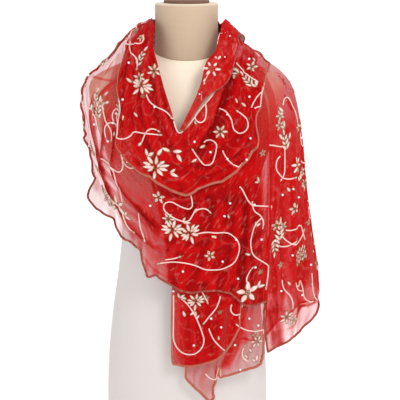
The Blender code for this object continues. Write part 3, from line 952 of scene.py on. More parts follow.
# The corner of the hanging end, which shows at the front below the rest. A single sheer ply close to the
# form, its side edge folded over into a narrow deep strip, and its hem overlocked.
CLOTH_WALL = 0.0016
LIFT_TAIL_CORNER = 0.0025
LIFT_TAIL = 0.0066
LIFT_CROSS = 0.0115
TAIL_CORNER = (
    # inner_angle, inner_depth, outer_angle, outer_depth, bow
    (40, 75, 0, 655, -8),
    (44, 75, 5.5, 677, -7),
    (47, 75, 10.8, 700, -6),
    (50, 75, 12.2, 668, -5),
    (51, 75, 22, 658, -5),
    (52, 75, 31.5, 654, -4),
    (52, 75, 33.8, 636, -3),
)
CORNER_HEM = (
    (0, 1), (0.13, 5), (0.29, 5), (0.35, 0), (0.42, -3), (0.465, -6), (0.485, -32), (0.51, -30),
    (0.535, -5), (0.6, -3), (0.78, -2), (0.89, 1), (1, -1),
)


def tail_corner_lift(angle, depth, along, across):
    """Close to the form, and up against the front tail at its top."""
    below_tail = LIFT_CROSS - 2 * CLOTH_WALL - 4 * SEAM_GAP
    level = LIFT_TAIL_CORNER + (below_tail - LIFT_TAIL_CORNER) * rise(-across, -0.12, 0)
    return level + 0.0014 * (1 + ripples(along, across, 3, 20.0)) * rise(across, 0.2, 0.5)


def tail_corner_plies(angle, depth, along, across):
    """One ply at the bottom, under two above the hem that shows through, and heaped at the neck."""
    hem_behind = rise(-depth, -0.606, -0.600)
    tip = rise(-angle, -13, -11.5)
    heaped = rise(-depth, -0.45, -0.2) * rise(-angle, -39, -33)
    return 0.85 + 0.75 * hem_behind * (1 - tip) + 0.15 * tip + 5 * heaped


TAIL_CORNER_FOLDS = (
    # width, lean, ridge, plies, route
    (7, 0.5, 3, 9, ((22.5, 500), (22, 540), (21, 580), (17.8, 615), (14.2, 645))),
    (1.4, 0, 0.2, 5, ((20.5, 588), (24.5, 592), (29, 601), (33.5, 603))),
    (2.6, 0.3, 1, 3.5, ((11.5, 630), (12.6, 660), (12.6, 685), (12, 700))),
)
tail_corner = Stretch(
    TAIL_CORNER, CORNER_HEM, tail_corner_lift, tail_corner_plies, TAIL_CORNER_FOLDS, 110, 220
)
sew(
    "tail_corner", tail_corner, (0.16, 0.60), 0.0615, ["form_torso_cover"],
    vines=(
        # angle, depth, heading, then a length and a curl for each leg
        (21.5, 548, 225, 14, 60, 65, 8), (27, 640, 160, 35, -30), (8, 650, -60, 28, 20),
        (24, 530, 60, 30, 20, 30, -25),
    ),
    motifs=(
        # kind, angle, depth, size, turn
        ("gold", 30.5, 592, 7.5, 10), ("star", 31, 606, 12.5, 20), ("twin", 26.5, 634, 12, 60),
        ("twin", 30.5, 645, 13.5, 15), ("bud", 28.5, 624, 11, 30), ("gold", 13, 668, 4.5, 0),
        ("star", 27, 500, 13, 0), ("gold", 17.5, 500, 7, 0),
    ),
    pearls=(
        (20.5, 600), (27.5, 556), (31.8, 575), (23, 652),
    ),
    free=(0.05, 0.4), thread=rose_thread, radii=((0, 2.5),),
)


# The hanging end at the front. Several plies of gathered cloth fall in narrow upright folds from under the
# wide sheer stretch to an overlocked hem.
FRONT_TAIL = (
    # inner_angle, inner_depth, outer_angle, outer_depth, bow
    (30, 70, -8.5, 628, -13),
    (35, 70, -2, 634, -10),
    (40, 70, 4, 636, -8),
    (45, 70, 12, 630, -6),
    (47, 70, 17, 606, -5),
    (48, 70, 22.5, 568, -4),
)
TAIL_HEM = (
    (0, 0), (0.1, -3), (0.22, -4), (0.39, -6), (0.5, -9), (0.64, -9), (0.76, -5), (0.85, -1),
    (1, 0),
)


def front_tail_lift(angle, depth, along, across):
    """Flat over its own corner, up against the cross drape at its top, and rippled towards the hem."""
    below_cross = LIFT_CROSS - CLOTH_WALL - SEAM_GAP
    level = LIFT_TAIL + (below_cross - LIFT_TAIL) * rise(-across, -0.12, 0)
    hanging = rise(across, 0.1, 0.3) * (1 + rise(depth, 0.48, 0.56) * 1.2)
    return level + 0.0004 * (1 + ripples(along, 0.6 * across, 8, 16.0)) * hanging


def front_tail_plies(angle, depth, along, across):
    """Nearly six, three at the left edge, and almost none in one gap on the right and at the right end."""
    left_edge = rise(-angle, 1.5, 5.5)
    gap = hump(angle, 17.8 - 32 * (depth - 0.52), 3.2) * rise(depth, 0.500, 0.530)
    right = rise(angle, 33, 39)
    return 5.8 - 2.6 * left_edge - 5.2 * gap - 5.8 * right


FRONT_TAIL_FOLDS = (
    # width, lean, ridge, plies, route
    (3.5, 0.4, 2, 4, ((9, 470), (10, 520), (11.5, 570), (13.5, 615))),
    (3, -0.4, 2, 4, ((11.8, 470), (12.4, 510), (12, 545), (11.8, 590))),
    (1.8, 0.3, 1, 3, ((-6.6, 470), (-6.8, 520), (-6.4, 570), (-5.8, 618))),
    (6, 0.2, 2.5, 1.5, ((2, 470), (2.4, 520), (2.4, 570), (3.2, 620))),
    (3, 0, 1, 3, ((20.5, 500), (21, 530), (20.6, 560))),
    (2.2, 0.2, 1, 3, ((-7.5, 612), (-1, 619), (5, 617), (12, 606), (17, 590))),
)
front_tail = Stretch(FRONT_TAIL, TAIL_HEM, front_tail_lift, front_tail_plies, FRONT_TAIL_FOLDS, 122, 240)
ghost_vines, ghost_motifs, ghost_pearls = strewn(5, (-1, 27), (235, 455), 26)
sew(
    "front_tail", front_tail, (0.14, 0.57), 0.064, ["tail_corner_cloth"],
    vines=(
        # angle, depth, heading, then a length and a curl for each leg
        *ghost_vines, (-8.2, 495, -91, 80, 0, 30, 14, 50, 22, 20, 20, 50, 2, 30, 8),
        (9.4, 560, -75, 50, 6), (14.5, 500, -100, 30, -10, 25, 0),
        (19.5, 520, -125, 15, 40, 20, 40), (5, 352, -95, 30, 0, 20, 40, 15, 10),
        (-2.5, 405, -100, 30, 0, 30, 20, 20, 5), (24, 405, -80, 45, -8, 15, -30),
        (14, 330, 20, 30, -20, 30, 30), (17, 430, 170, 30, -20, 20, 30),
        (6, 470, 30, 30, -15, 40, 15),
    ),
    motifs=(
        # kind, angle, depth, size, turn
        ("bloom", 4, 505, 18.5, 15), ("twin", -4.4, 500, 13, -20), ("twin", 3.6, 524, 12, 160),
        ("bud", 0, 500, 12, 80), ("gold", 8.4, 500, 6, 0), ("bud", -0.8, 535, 12, 20),
        ("bud", 4, 540, 10, -40), ("gold", 14.2, 531, 5, 0), ("bud", 13.6, 585, 8.5, 5),
        ("spray", 0, 462, 26, 20), ("star", 12, 462, 13, 0), ("twin", 19, 470, 13, -30),
        ("bud", -4.5, 470, 12, 30), ("bloom", 19.5, 372, 15, 40), ("star", 20.5, 335, 14, 40),
        ("spray", 13.5, 340, 26, 40), ("bud", 15.5, 385, 12, -70), ("bud", 11, 305, 11, 70),
        ("twin", 4, 445, 12, 40), ("bud", 9, 440, 11, -30), ("twin", 26, 440, 12, -10),
        ("lily", 24, 300, 14, 40), ("bud", 5, 325, 11, -60), *ghost_motifs,
    ),
    pearls=(
        *ghost_pearls, (-8.2, 487), (0.6, 484), (3, 590), (14.6, 560), (10.5, 540), (16, 470),
        (-3, 440), (14, 360), (22, 360), (12, 400), (26, 350),
    ),
    free=(0.75, 0.75), thread=rose_thread,
    radii=((0, 1.6), (0.40, 1.6), (0.42, 2.5), (0.58, 2.5), (0.62, 1.2), (1, 1.2)),
)


# The wide sheer stretch over the left shoulder and across the front. One ply at its free edge, folded
# lengthwise into soft streaks, and heaped towards the right where it gathers under the collar.
FAN_FOLD = 0.003
EDGE_FLARE = 0.018
CROSS_DRAPE = (
    # inner_angle, inner_depth, outer_angle, outer_depth, bow
    (-104, 0, -98, 30, 0),
    (-92, 0, -92, 80, 0),
    (-80, 0, -91, 140, 0),
    (-68, 2, -90, 200, 0),
    (-56, 8, -88, 275, 0),
    (-44, 25, -80, 325, 0),
    (-33, 48, -82, 385, 0),
    (-24, 80, -66, 415, 0),
    (-16, 120, -46, 425, 0),
    (-10, 155, -31, 440, 0),
    (-4, 190, -22, 470, 0),
    (6, 180, -8, 478, 0),
    (17, 150, 6, 485, -1),
    (30, 115, 18, 503, -3),
    (45, 85, 27, 522, -5),
    (64, 60, 36.2, 530, -6.5),
)
CROSS_HEM = (
    (0, 0), (0.08, 5), (0.11, -2), (0.13, 1), (0.145, -5), (0.16, 7), (0.21, 4), (0.23, 0),
    (0.255, 5), (0.29, -11), (0.315, -3), (0.345, -5), (0.367, 0), (0.386, -10), (0.4, -3),
    (0.42, -5), (0.445, -2), (0.465, -9), (0.51, -19), (0.54, -4), (0.565, -12), (0.61, -19),
    (0.655, 4), (0.68, -12), (0.72, -5), (0.78, 4), (0.83, -8), (0.87, -9), (0.915, 4), (0.95, 5),
    (1, 0),
)


def cross_lift(angle, depth, along, across):
    """Above the tail at the front and close to the form at the left shoulder. Three soft folds fan out from
    that shoulder, below the collar, and the free edge at the left flares and ripples."""
    level = LIFT_ON_FORM + (LIFT_CROSS - LIFT_ON_FORM) * rise(angle, -62, -25)
    below_collar = rise(across, 0.55, 0.85)
    fan = sum(hump(along, middle, 0.05) for middle in (0.48, 0.62, 0.76))
    flare = EDGE_FLARE * hump(depth, 0.395, 0.035) * rise(-angle, 55, 80)
    flutes = 0.0028 * gathers(along, 22, 7, 30.0) * rise(across, 0.88, 1)
    streaks = 0.0010 * (1 + ripples(across, along, 21, 16.0)) * rise(across, 0.3, 0.5)
    tucked = 0.0010 * rise(along, 0.93, 0.98)
    return level + FAN_FOLD * below_collar * fan + flare + flutes + streaks - tucked


# Chart angle left of which the stretch is a single ply, and the hanging end's left side, at a few depths
PALE_LIMIT = (
    (0, -80), (30, -72), (50, -60), (70, -60), (90, -74), (110, -64), (140, -54), (180, -50),
    (230, -50), (300, -58), (330, -56), (360, -48), (400, -38), (430, -26),
)
TAIL_SIDE = ((280, -19), (340, -15), (400, -11.8), (440, -11.2))


def cross_plies(angle, depth, along, across):
    """One ply in the pale scallops by the shoulder and along the free edge, under two over the left of the
    form, and about six over the hanging end, but for one thin upright band on the right. Extra plies paint
    the shadow under the collar's hem, and the single ply over the form is thinned as painted light."""
    pale = rise(look_up(depth * MM, PALE_LIMIT) - angle, -1, 3)
    right = rise(angle - look_up(depth * MM, TAIL_SIDE), -1.2, 1.2) * rise(depth, 0.26, 0.29)
    # Painted shadow: extra plies darken a band of the stretch under the collar's hem.
    shaded = hump(depth, 0.315, 0.045) * rise(angle, -14, -4) * rise(-angle, -30, -20)
    heap = hump(angle, 25, 8) * rise(depth, 0.30, 0.40)
    band = rise(angle, 33, 38)
    creases = np.clip(ripples(across, along, 23, 34.0), 0, 1.5) ** 2
    near_hem = rise(across, 0.82, 0.95) * rise(-angle, 8, 16)
    # Painted light: the single ply is thinned further over the form, to lighten the shadow it casts on the
    # form behind.
    lightened_over_form = pale * rise(angle, -67, -62)
    left = 1.75 - 0.70 * pale - 0.40 * lightened_over_form - 0.10 * near_hem * (1 - pale)
    left = left + 1.2 * creases * (1 - 0.8 * pale) * (1 - band)
    return left + (4.4 * right + 2.0 * heap + 2.5 * shaded) * (1 - band) - 0.35 * band


CROSS_FOLDS = (
    # width, lean, ridge, plies, route
    (3, 0.4, 3.4, 12, (
        (-43, 160), (-48.5, 223), (-52.5, 263), (-56.5, 297), (-54.5, 333), (-46.5, 362),
        (-37, 388), (-25, 400), (-18, 415),
    )),
    (2.8, 0.4, 3, 10, (
        (-64, 165), (-63.5, 210), (-63, 247), (-60.5, 280), (-60.5, 320), (-53.5, 343), (-46, 358),
    )),
    (2.6, 0.4, 3, 8, ((-50, 110), (-56, 160), (-59, 220), (-59.5, 262), (-58, 300), (-52, 335))),
    (3, 0.5, 3.4, 12, (
        (-44, 175), (-41, 235), (-45.5, 297), (-38.5, 325), (-32, 340), (-20.5, 360), (-14, 378),
    )),
    (6.5, 0.5, 3, 8, ((-29, 340), (-25, 352), (-20.5, 368), (-14, 385))),
    (2.4, 0.4, 3, 4.5, ((-35.5, 385), (-27, 395), (-17.5, 410), (-10, 430))),
    (2, 0, 0.2, 2.5, ((-80, 158), (-63, 145), (-54.5, 135))),
    (1.4, 0.2, 1, 2.5, ((-73, 103), (-68, 122), (-64, 138))),
    (9, 0.3, 6, 1, ((23.5, 323), (22, 378), (20, 432), (17.5, 495))),
    (10, 0.3, 6, 1, ((16, 307), (13, 360), (9.5, 417), (5, 478))),
    (9, 0.3, 5, 1, ((8.5, 302), (4, 338), (-3.5, 385), (-16, 440))),
    (4.5, 0.3, 5, 3, ((31, 275), (29, 330), (28, 383), (26.5, 445), (26, 505))),
    (3, -0.3, 3.5, 3.5, ((45.5, 180), (40.5, 265), (38, 338), (37, 413), (36.2, 510))),
    (1.6, 0, 0.6, 2.5, ((-30, 420), (-20, 452), (-8, 462), (5, 470), (16, 488))),
)
cross_drape = Stretch(CROSS_DRAPE, CROSS_HEM, cross_lift, cross_plies, CROSS_FOLDS, 420, 184)
under_vines, under_motifs, under_pearls = strewn(9, (-41, -27), (165, 255), 14)
sew(
    "cross_drape", cross_drape, (0.42, 0.78), 0.145, ["form_torso_cover", "front_tail_cloth"],
    vines=(
        # angle, depth, heading, then a length and a curl for each leg
        *under_vines,
        (2, 302, -70, 18, -10, 15, -75, 22, -8, 20, 40, 18, 52, 35, 9, 14, 50, 12, 0, 30, -36),
        (3.5, 376, 25, 20, -12, 35, -4, 50, -16, 55, -16, 40, -6, 35, 8, 35, 8),
        (24.5, 298, -45, 12, -20, 28, 2, 10, 40, 45, 0),
        (35, 368, 195, 25, 18, 35, 10, 30, 14, 22, 0, 15, -35, 30, 0),
        (-55, 290, 10, 20, -5, 20, -35, 50, -3), (-27.5, 352, -97, 45, 8), (-12, 425, 10, 22, 6),
        (27.5, 505, 80, 20, 20, 30, -30), (-52, 185, -72, 40, 10, 20, -40),
        (-48, 362, 20, 30, -30, 30, 20), (-84, 200, -60, 45, 20, 45, -30),
        (-74, 70, -70, 40, 20, 30, -30), (30, 330, -100, 30, 20, 30, -20),
    ),
    motifs=(
        # kind, angle, depth, size, turn
        ("bloom", -7.8, 367, 22.5, 10), ("bloom", 1.5, 371, 21.5, 40), ("star", -10, 348, 12, 30),
        ("twin", -2, 352, 13, -60), ("gold", -15, 311, 12, 0), ("gold", 10, 416, 10.5, 20),
        ("lily", 26.5, 502, 22.5, 0), ("gold", 26.5, 502, 6, 36), ("twin", 31.5, 498, 15, -60),
        ("spray", -54.5, 214, 29, 4), ("spray", -57, 196, 25, 20), ("gold", -53.5, 186, 12, 20),
        ("coil", -56.5, 205, 6.5, 0), ("bud", -59.8, 186, 12, 40), ("bud", -50.5, 180, 12, -50),
        ("bud", -61.5, 210, 13, 10), ("bud", -53, 168, 11, -20), ("bud", -49.5, 265, 8, 10),
        ("twin", -66, 328, 11, 10), ("star", -44.5, 364, 20, 10), ("gold", -50.5, 369, 11, 0),
        ("twin", -38.5, 374, 15, -60), ("star", -55.5, 366, 15, 20), ("gold", -60, 356, 8, 0),
        ("spray", -66.5, 300, 18, 10), ("bud", 13, 382, 10, 70), ("bud", 3.5, 334, 10, -30),
        ("twin", 31.5, 380, 11, -40), ("bud", 28, 430, 10, 60), ("gold", 33, 470, 5.5, 0),
        ("bud", 19, 352, 8.5, 20), ("twin", 34.5, 300, 10.5, 40), ("gold", 38, 250, 7, 0),
        ("gold", -30, 425, 5, 0), ("lily", -86, 120, 15, 30), ("twin", -74, 60, 11, 80),
        ("star", -84, 255, 15, 0), ("bud", -78, 180, 10, 60), *under_motifs,
    ),
    pearls=(
        (16.5, 345), (19.5, 324), (30.5, 458), (21.5, 393), (31, 338), (-2, 445), (-70, 285),
        (-58, 230), (34, 408), (-84, 160), (22, 470), (15.5, 432), (-20, 330), *under_pearls,
    ),
)


# The collar: the cloth folded over to the front, which hangs below the neckline in swags. Its plies lie in
# deep soft folds, and its scalloped, overlocked edge stands off the wide sheer stretch below.
LIFT_COLLAR = 0.0184
SWAG_FOLD = 0.0024
COLLAR = (
    # inner_angle, inner_depth, outer_angle, outer_depth, bow
    (-104, 0, -98, 28, 0),
    (-82, 0, -77, 36, 0),
    (-63, 3, -63, 68, 0),
    (-47, 12, -51, 120, 0),
    (-32, 45, -39, 160, 0),
    (-22, 75, -37, 205, 0),
    (-14, 115, -36, 245, 0),
    (-8, 152, -24, 280, 0),
    (-4, 188, -10, 292, 0),
    (1, 176, 2, 296, 0),
    (7, 150, 13, 272, 0),
    (15, 126, 25, 262, 0),
    (24, 100, 34, 235, 0),
    (34, 78, 36, 190, 0),
    (46, 58, 44, 160, 0),
    (60, 40, 62, 135, 0),
    (73, 32, 79, 108, 0),
    (83, 30, 87, 80, 0),
)
COLLAR_HEM = (
    (0, 0), (0.1, 4), (0.15, -4), (0.22, 5), (0.27, -5), (0.33, 3), (0.38, -3), (0.43, -12),
    (0.47, -4), (0.52, 2), (0.545, -3), (0.6, 10), (0.65, -3), (0.69, -6), (0.73, 4), (0.77, -6),
    (0.8, 0), (0.84, -16), (0.865, -22), (0.91, -14), (0.955, -16), (0.985, 0), (1, 3),
)


def collar_lift(angle, depth, along, across):
    """Just above the wide sheer stretch, in swags and fine ripples, and fluted where its edge flares."""
    at_ends = LIFT_ON_FORM + 2 * CLOTH_WALL
    at_front = rise(angle, -85, -28) * rise(-angle, -92, -50)
    level = at_ends + (LIFT_COLLAR - at_ends) * at_front
    swags = hump(across, 0.48, 0.14) + hump(across, 0.78, 0.13)
    swags = SWAG_FOLD * swags * rise(along, 0.25, 0.4) * rise(-along, -0.8, -0.65)
    wrinkles = 0.0008 * (1 + ripples(0.6 * across, along, 12, 16.0))
    flutes = 0.0024 * gathers(along, 14, 7, 34.0) * rise(across, 0.7, 1)
    return level + swags + wrinkles + flutes


def collar_plies(angle, depth, along, across):
    """Four to eight plies where it is folded, three fewer at the lower left, and one in the scallops by the
    right shoulder and over the left one."""
    lower_left = rise(-angle, 22, 30) * rise(depth, 0.190, 0.215)
    right_scallop = rise(angle, 44, 50) * rise(across, 0.5, 0.66)
    left_end = rise(-angle, 57, 64) * rise(across, 0.25, 0.45)
    thinned = np.clip(ripples(0.6 * across, along, 14, 22.0), -1.5, 1.5)
    folded = 5.6 + 1.6 * thinned * (1 - right_scallop) * (1 - left_end)
    return folded - 3.3 * lower_left - 4.6 * right_scallop - 4.5 * left_end


COLLAR_FOLDS = (
    # width, lean, ridge, plies, route
    (6, 0.4, 6, 2, ((-54.5, 30), (-49.5, 65), (-43, 110), (-36, 155), (-32.5, 195), (-28.5, 238))),
    (7, 0.4, 6.5, 2, ((-43.5, 28), (-35.5, 72), (-28.5, 125), (-21.5, 175), (-15.5, 225), (-7, 253))),
    (7, 0.4, 5.5, 2, ((-26, 65), (-18.5, 118), (-12, 170), (-6, 210), (-1, 235))),
    (5, -0.3, 6, 2, ((-48, 13), (-29.5, 50), (-20.5, 78), (-12.5, 118), (-7.5, 155), (-3.5, 190))),
    (7, 0.3, -6.5, 4, ((46.5, 50), (30.5, 95), (20.5, 138), (15.5, 168), (9, 203), (2.5, 233))),
    (6.5, 0.3, 6, 2, ((47.5, 68), (34, 110), (25.5, 150), (18.5, 190), (11, 222), (3.5, 250))),
    (5, 0.4, 5, 2, ((-3, 217), (6.5, 242), (16.5, 242), (27.5, 220), (33.5, 188))),
    (5, 0.4, 5, 2, ((-2, 245), (7.5, 263), (18.5, 253), (28.5, 238), (35, 212))),
    (4.5, 0.4, 4, 2, ((0, 200), (9, 217), (19, 210), (29, 185), (36, 152))),
    (3.5, 0.3, 4, 3, ((49, 80), (54, 100), (57, 120))),
    (3.5, 0.3, 4, 3, ((40.5, 100), (44, 125), (49.5, 140))),
    (3, 0.3, 3, 3, ((35, 165), (39, 150), (44, 140))),
    (3, 0, 3.5, -2, ((-30, 262), (-20, 274), (-11, 284), (-3, 289))),
    (3, 0, 3.5, -3, ((2, 290), (10.5, 276), (16, 268), (25, 258))),
)
collar = Stretch(COLLAR, COLLAR_HEM, collar_lift, collar_plies, COLLAR_FOLDS, 340, 120)
sew(
    "collar", collar, (0.16, 0.72), 0.059, ["cross_drape_cloth"],
    vines=(
        # angle, depth, heading, then a length and a curl for each leg
        (-52, 40, 20, 10, -80, 15, -60, 55, -3), (-24.5, 133, -65, 22, 22, 22, 0, 15, -20),
        (-42, 208, -80, 12, 20, 18, 38, 18, 10, 14, 25, 10, -60, 40, 0),
        (-22.5, 216, 75, 25, -8, 16, -45), (18, 150, -25, 18, -25, 25, -6, 20, 35, 30, 42, 20, 12),
        (41, 78, -95, 22, 5, 25, 10), (35, 165, 60, 12, -20, 30, -10), (36.5, 168, 5, 25, -14),
        (8.5, 207, 50, 12, -50, 16, -50, 25, -8, 24, -48, 25, -5), (17, 225, -80, 30, 12, 24, 8),
        (-1, 118, -95, 30, 4, 16, 50, 12, 50, 25, -8, 20, 10), (-60, 60, -60, 28, 20, 25, -30),
        (4.5, 158, -100, 12, 45, 18, 65, 22, 10, 26, -6),
    ),
    motifs=(
        # kind, angle, depth, size, turn
        ("bloom", -29.5, 120, 21.5, 0), ("star", -33.5, 108, 13, 30), ("star", -24.5, 85, 14, 10),
        ("coil", -26, 138, 3, 0), ("gold", -51, 44, 8, 0), ("spray", -40, 86, 25, -8),
        ("bud", -37, 122, 12, 80), ("bud", -26, 175, 10.5, 60), ("bloom", -15.5, 254, 25, 15),
        ("twin", -19.5, 238, 16, -20), ("twin", -8, 262, 15, -80), ("bud", -14, 232, 15, -30),
        ("bud", -24.5, 224, 11, -40), ("bud", -33.5, 190, 8.5, 10), ("bud", -8, 222, 15, 75),
        ("bud", -6.5, 222, 16, -85), ("bud", -4.5, 226, 16, 210), ("coil", 36.5, 72, 8, 0),
        ("twin", 36, 84, 15, 170), ("twin", 36.5, 100, 13, 10), ("spray", 41, 130, 23, 12),
        ("twin", 43.5, 134, 14, 10), ("bud", 32.5, 106, 11, -30), ("star", 16.5, 192, 12.5, 20),
        ("bud", 9, 212, 11, 110), ("bud", 28, 150, 9, 10), ("bud", 32, 160, 10, 30),
        ("bud", 2.5, 240, 11, -60), ("gold", 31, 244, 6, 0), ("lily", 50, 98, 11, 20),
        ("bud", 56, 92, 10, -30), ("gold", -68, 40, 6, 0), ("bud", 5, 175, 9, 20),
    ),
    pearls=(
        (-36.5, 157), (52, 84), (21.5, 165), (31, 215), (-46, 90), (11, 224), (4, 205), (18.5, 240),
        (36, 146), (-18, 150), (28, 250),
    ),
    free=(0, 0.6), thread=rose_thread,
    radii=((0, 1.1), (0.37, 1.1), (0.45, 2.6), (0.66, 2.6), (0.74, 1.7), (1, 1.7)),
)


# The lapel: the start of the hanging end, which lies over the collar on the viewer's right of the neck. It
# is folded lengthwise, and tapers to where it tucks in at the middle of the chest.
LIFT_LAPEL = 0.0255
LAPEL = (
    # inner_angle, inner_depth, outer_angle, outer_depth, bow
    (104, 0, 104, 50, 0),
    (80, 0, 82, 40, 0),
    (56, 2, 60, 36, 0),
    (40, 18, 50, 52, 0),
    (28, 41, 36, 80, 0),
    (16, 62, 24, 111, 0),
    (9, 105, 12, 128, 0),
    (3, 142, 5.5, 150, 0),
    (-3, 182, -1.5, 186, 0),
)
LAPEL_HEM = (
    (0, 0), (0.12, 3), (0.22, -3), (0.33, 3), (0.42, -2), (0.55, 3), (0.7, -2), (1, 0),
)


def lapel_lift(angle, depth, along, across):
    """On the neck behind, rising above the collar at the front, with ripples along it."""
    level = LIFT_ON_FORM + (LIFT_LAPEL - LIFT_ON_FORM) * rise(-angle, -104, -62)
    return level + 0.0010 * ripples(0.3 * across, along, 16, 24.0)


def lapel_plies(angle, depth, along, across):
    """Folded double twice over, and thinner along its outer edge."""
    return 4.4 - 1.6 * rise(across, 0.75, 1)


LAPEL_FOLDS = (
    # width, lean, ridge, plies, route
    (6, 0.4, 3, 1.5, ((36.5, 28), (23, 60), (13, 95), (4.5, 130), (0, 163))),
    (4, 0.3, 2.5, 2, ((54, 18), (42, 48), (26, 85), (14, 120), (5.5, 147))),
)
lapel = Stretch(LAPEL, LAPEL_HEM, lapel_lift, lapel_plies, LAPEL_FOLDS, 200, 46)
sew(
    "lapel", lapel, (0.06, 0.32), 0.0094, ["collar_cloth", "form_neck_cover"],
    vines=(
        # angle, depth, heading, then a length and a curl for each leg
        (33, 36, -40, 25, -30), (60, 18, 200, 18, -20, 18, 20), (15.5, 86, 232, 30, 6, 28, 10),
    ),
    motifs=(
        # kind, angle, depth, size, turn
        ("star", 19, 77, 18, 10), ("gold", 19, 77, 6, 0), ("twin", 25, 62, 15, -30),
        ("bud", 13, 92, 12, 150), ("bud", 11, 98, 11, 200), ("gold", 40, 36, 6, 0),
        ("lily", 72, 16, 11, 40),
    ),
    pearls=(
        (8, 122), (33, 60), (50, 28),
    ),
    radii=((0, 1.2),),
)


# The end that goes over the right shoulder and hangs at the side, spread over the upper arm's place without
# an arm in it. It falls in upright pleats, and its scalloped side edge and hem are overlocked.
SHOULDER_FALL = (
    # inner_angle, inner_depth, outer_angle, outer_depth, bow
    (56.5, 60, 36.7, 633, -9),
    (70, 60, 46, 620, -7),
    (80, 60, 60, 608, -5),
    (92, 60, 88, 600, 0),
    (106, 60, 112, 615, 0),
    (118, 60, 130, 650, 0),
    (128, 60, 142, 690, 0),
)
FALL_HEM = (
    (0, 0), (0.12, 3), (0.2, 0), (0.28, 6), (0.38, 1), (0.45, 3), (0.54, -6), (0.62, 5), (0.72, -5),
    (0.8, 4), (0.9, -4), (1, 3),
)
FALL_PLEAT = 0.009


def fall_lift(angle, depth, along, across):
    """Level with the wide stretch where they meet, on the form at the shoulder, then hanging in four
    upright pleats that deepen towards the hem. It hangs a little in where nothing holds it out."""
    level = LIFT_ON_FORM + (LIFT_CROSS + 0.0006 - LIFT_ON_FORM) * rise(-angle, -86, -62)
    pleats = sum(hump(along, middle, 0.11) for middle in (0.20, 0.42, 0.64, 0.86))
    hanging = rise(across, 0.15, 0.9)
    drawn_in = 0.012 * hump(depth, 0.36, 0.24) * rise(angle, 52, 85) * rise(-angle, -140, -110)
    pleats = FALL_PLEAT * pleats * rise(along, 0.03, 0.15) * (1 - 0.6 * hump(along, 0.42, 0.11))
    fallen = 0.007 * rise(depth, 0.53, 0.56) * rise(-along, -0.16, -0.05)
    return level + (pleats + 0.0010 * ripples(along, 0.7 * across, 41, 18.0)) * hanging - drawn_in - fallen


# Chart depth below which the fall is a single ply, at a few angles
FALL_WINDOW = (
    (41, 660), (44, 645), (48, 625), (51, 596), (54, 575), (58, 574), (66, 579), (77, 568),
    (90, 572), (140, 600),
)


def fall_plies(angle, depth, along, across):
    """Two plies along the front, one over the shoulder, and three or four where it hangs in pleats, with a
    single ply below the hem of its inner layer and where that layer ends at the front."""
    front = rise(-along, -0.07, -0.02)
    crown = rise(-depth, -0.19, -0.12)
    hanging = rise(across, 0.2, 0.5)
    below = rise(depth - look_up(angle, FALL_WINDOW) / MM, 0, 0.004)
    gathered = np.clip(ripples(along, 0.7 * across, 43, 20.0), -1, 1.5)
    inner_ends = rise(depth, 0.525, 0.545) * rise(-angle, -64, -56) * rise(angle, 41.5, 44)
    full = 1.9 + (1.7 + 0.9 * gathered) * hanging * (1 - front) - 0.8 * crown - 1.4 * inner_ends
    return full * (1 - 0.55 * below)


FALL_FOLDS = (
    # width, lean, ridge, plies, route
    (3, 0.3, 3, 3, ((42, 230), (39, 340), (37.5, 455), (36.8, 570), (37, 620))),
    (4.5, 0.4, 4, 3.5, ((53, 188), (46, 292), (42.5, 403), (42, 520), (42, 610))),
    (6, 0.4, 4, 2.5, ((68.5, 175), (59, 270), (53, 400), (50, 512), (49, 610))),
    (5, 0.4, 4, 2.5, ((86.5, 198), (71.5, 305), (66.5, 417), (62, 530), (60, 603))),
    (4, 0.4, 4, 2.5, ((89, 220), (85, 335), (81.5, 453), (83.5, 555), (86, 595))),
    (1.6, 0, 0.4, 5, ((43.5, 600), (50.5, 594), (54.5, 572), (62, 577), (73, 585), (86.5, 587))),
    (2.4, 0, 1, 3, ((53, 562), (55, 575), (52, 582))),
    (4, 0.3, 3, 2, ((37.5, 525), (38.5, 555), (40.5, 608))),
    (1.4, 0, 0.6, 2.5, ((64, 125), (74, 138), (84, 152), (94, 170))),
    (8, 0.4, 5, 2.5, ((104, 180), (104, 340), (106, 480), (106, 600))),
    (8, 0.4, 5, 2.5, ((120, 200), (122, 360), (124, 500), (125, 630))),
)
shoulder_fall = Stretch(SHOULDER_FALL, FALL_HEM, fall_lift, fall_plies, FALL_FOLDS, 240, 240)
FALL_VINES = (
    # angle, depth, heading, then a length and a curl for each leg
    (56.5, 184, 65, 12, -30, 14, -75, 45, -3, 16, 50, 14, 5), (40.5, 240, -5, 18, -15, 22, 6),
    (52, 256, 262, 42, 0, 14, -30), (47.5, 268, 215, 12, 30, 30, 20, 30, 14),
    (43, 432, -50, 12, 30, 24, 15), (47.5, 408, -35, 15, 20, 18, 0, 12, -60, 22, 0),
    (51, 515, -80, 32, 15), (44.5, 405, -80, 40, 10, 40, 24), (66, 300, -60, 30, 30, 35, -20),
    (76, 400, -100, 40, 20, 40, -30), (56, 520, -60, 30, -10, 35, 20),
    (66, 520, -90, 30, 0, 35, 14), (44, 500, -95, 30, 14, 30, -14),
)
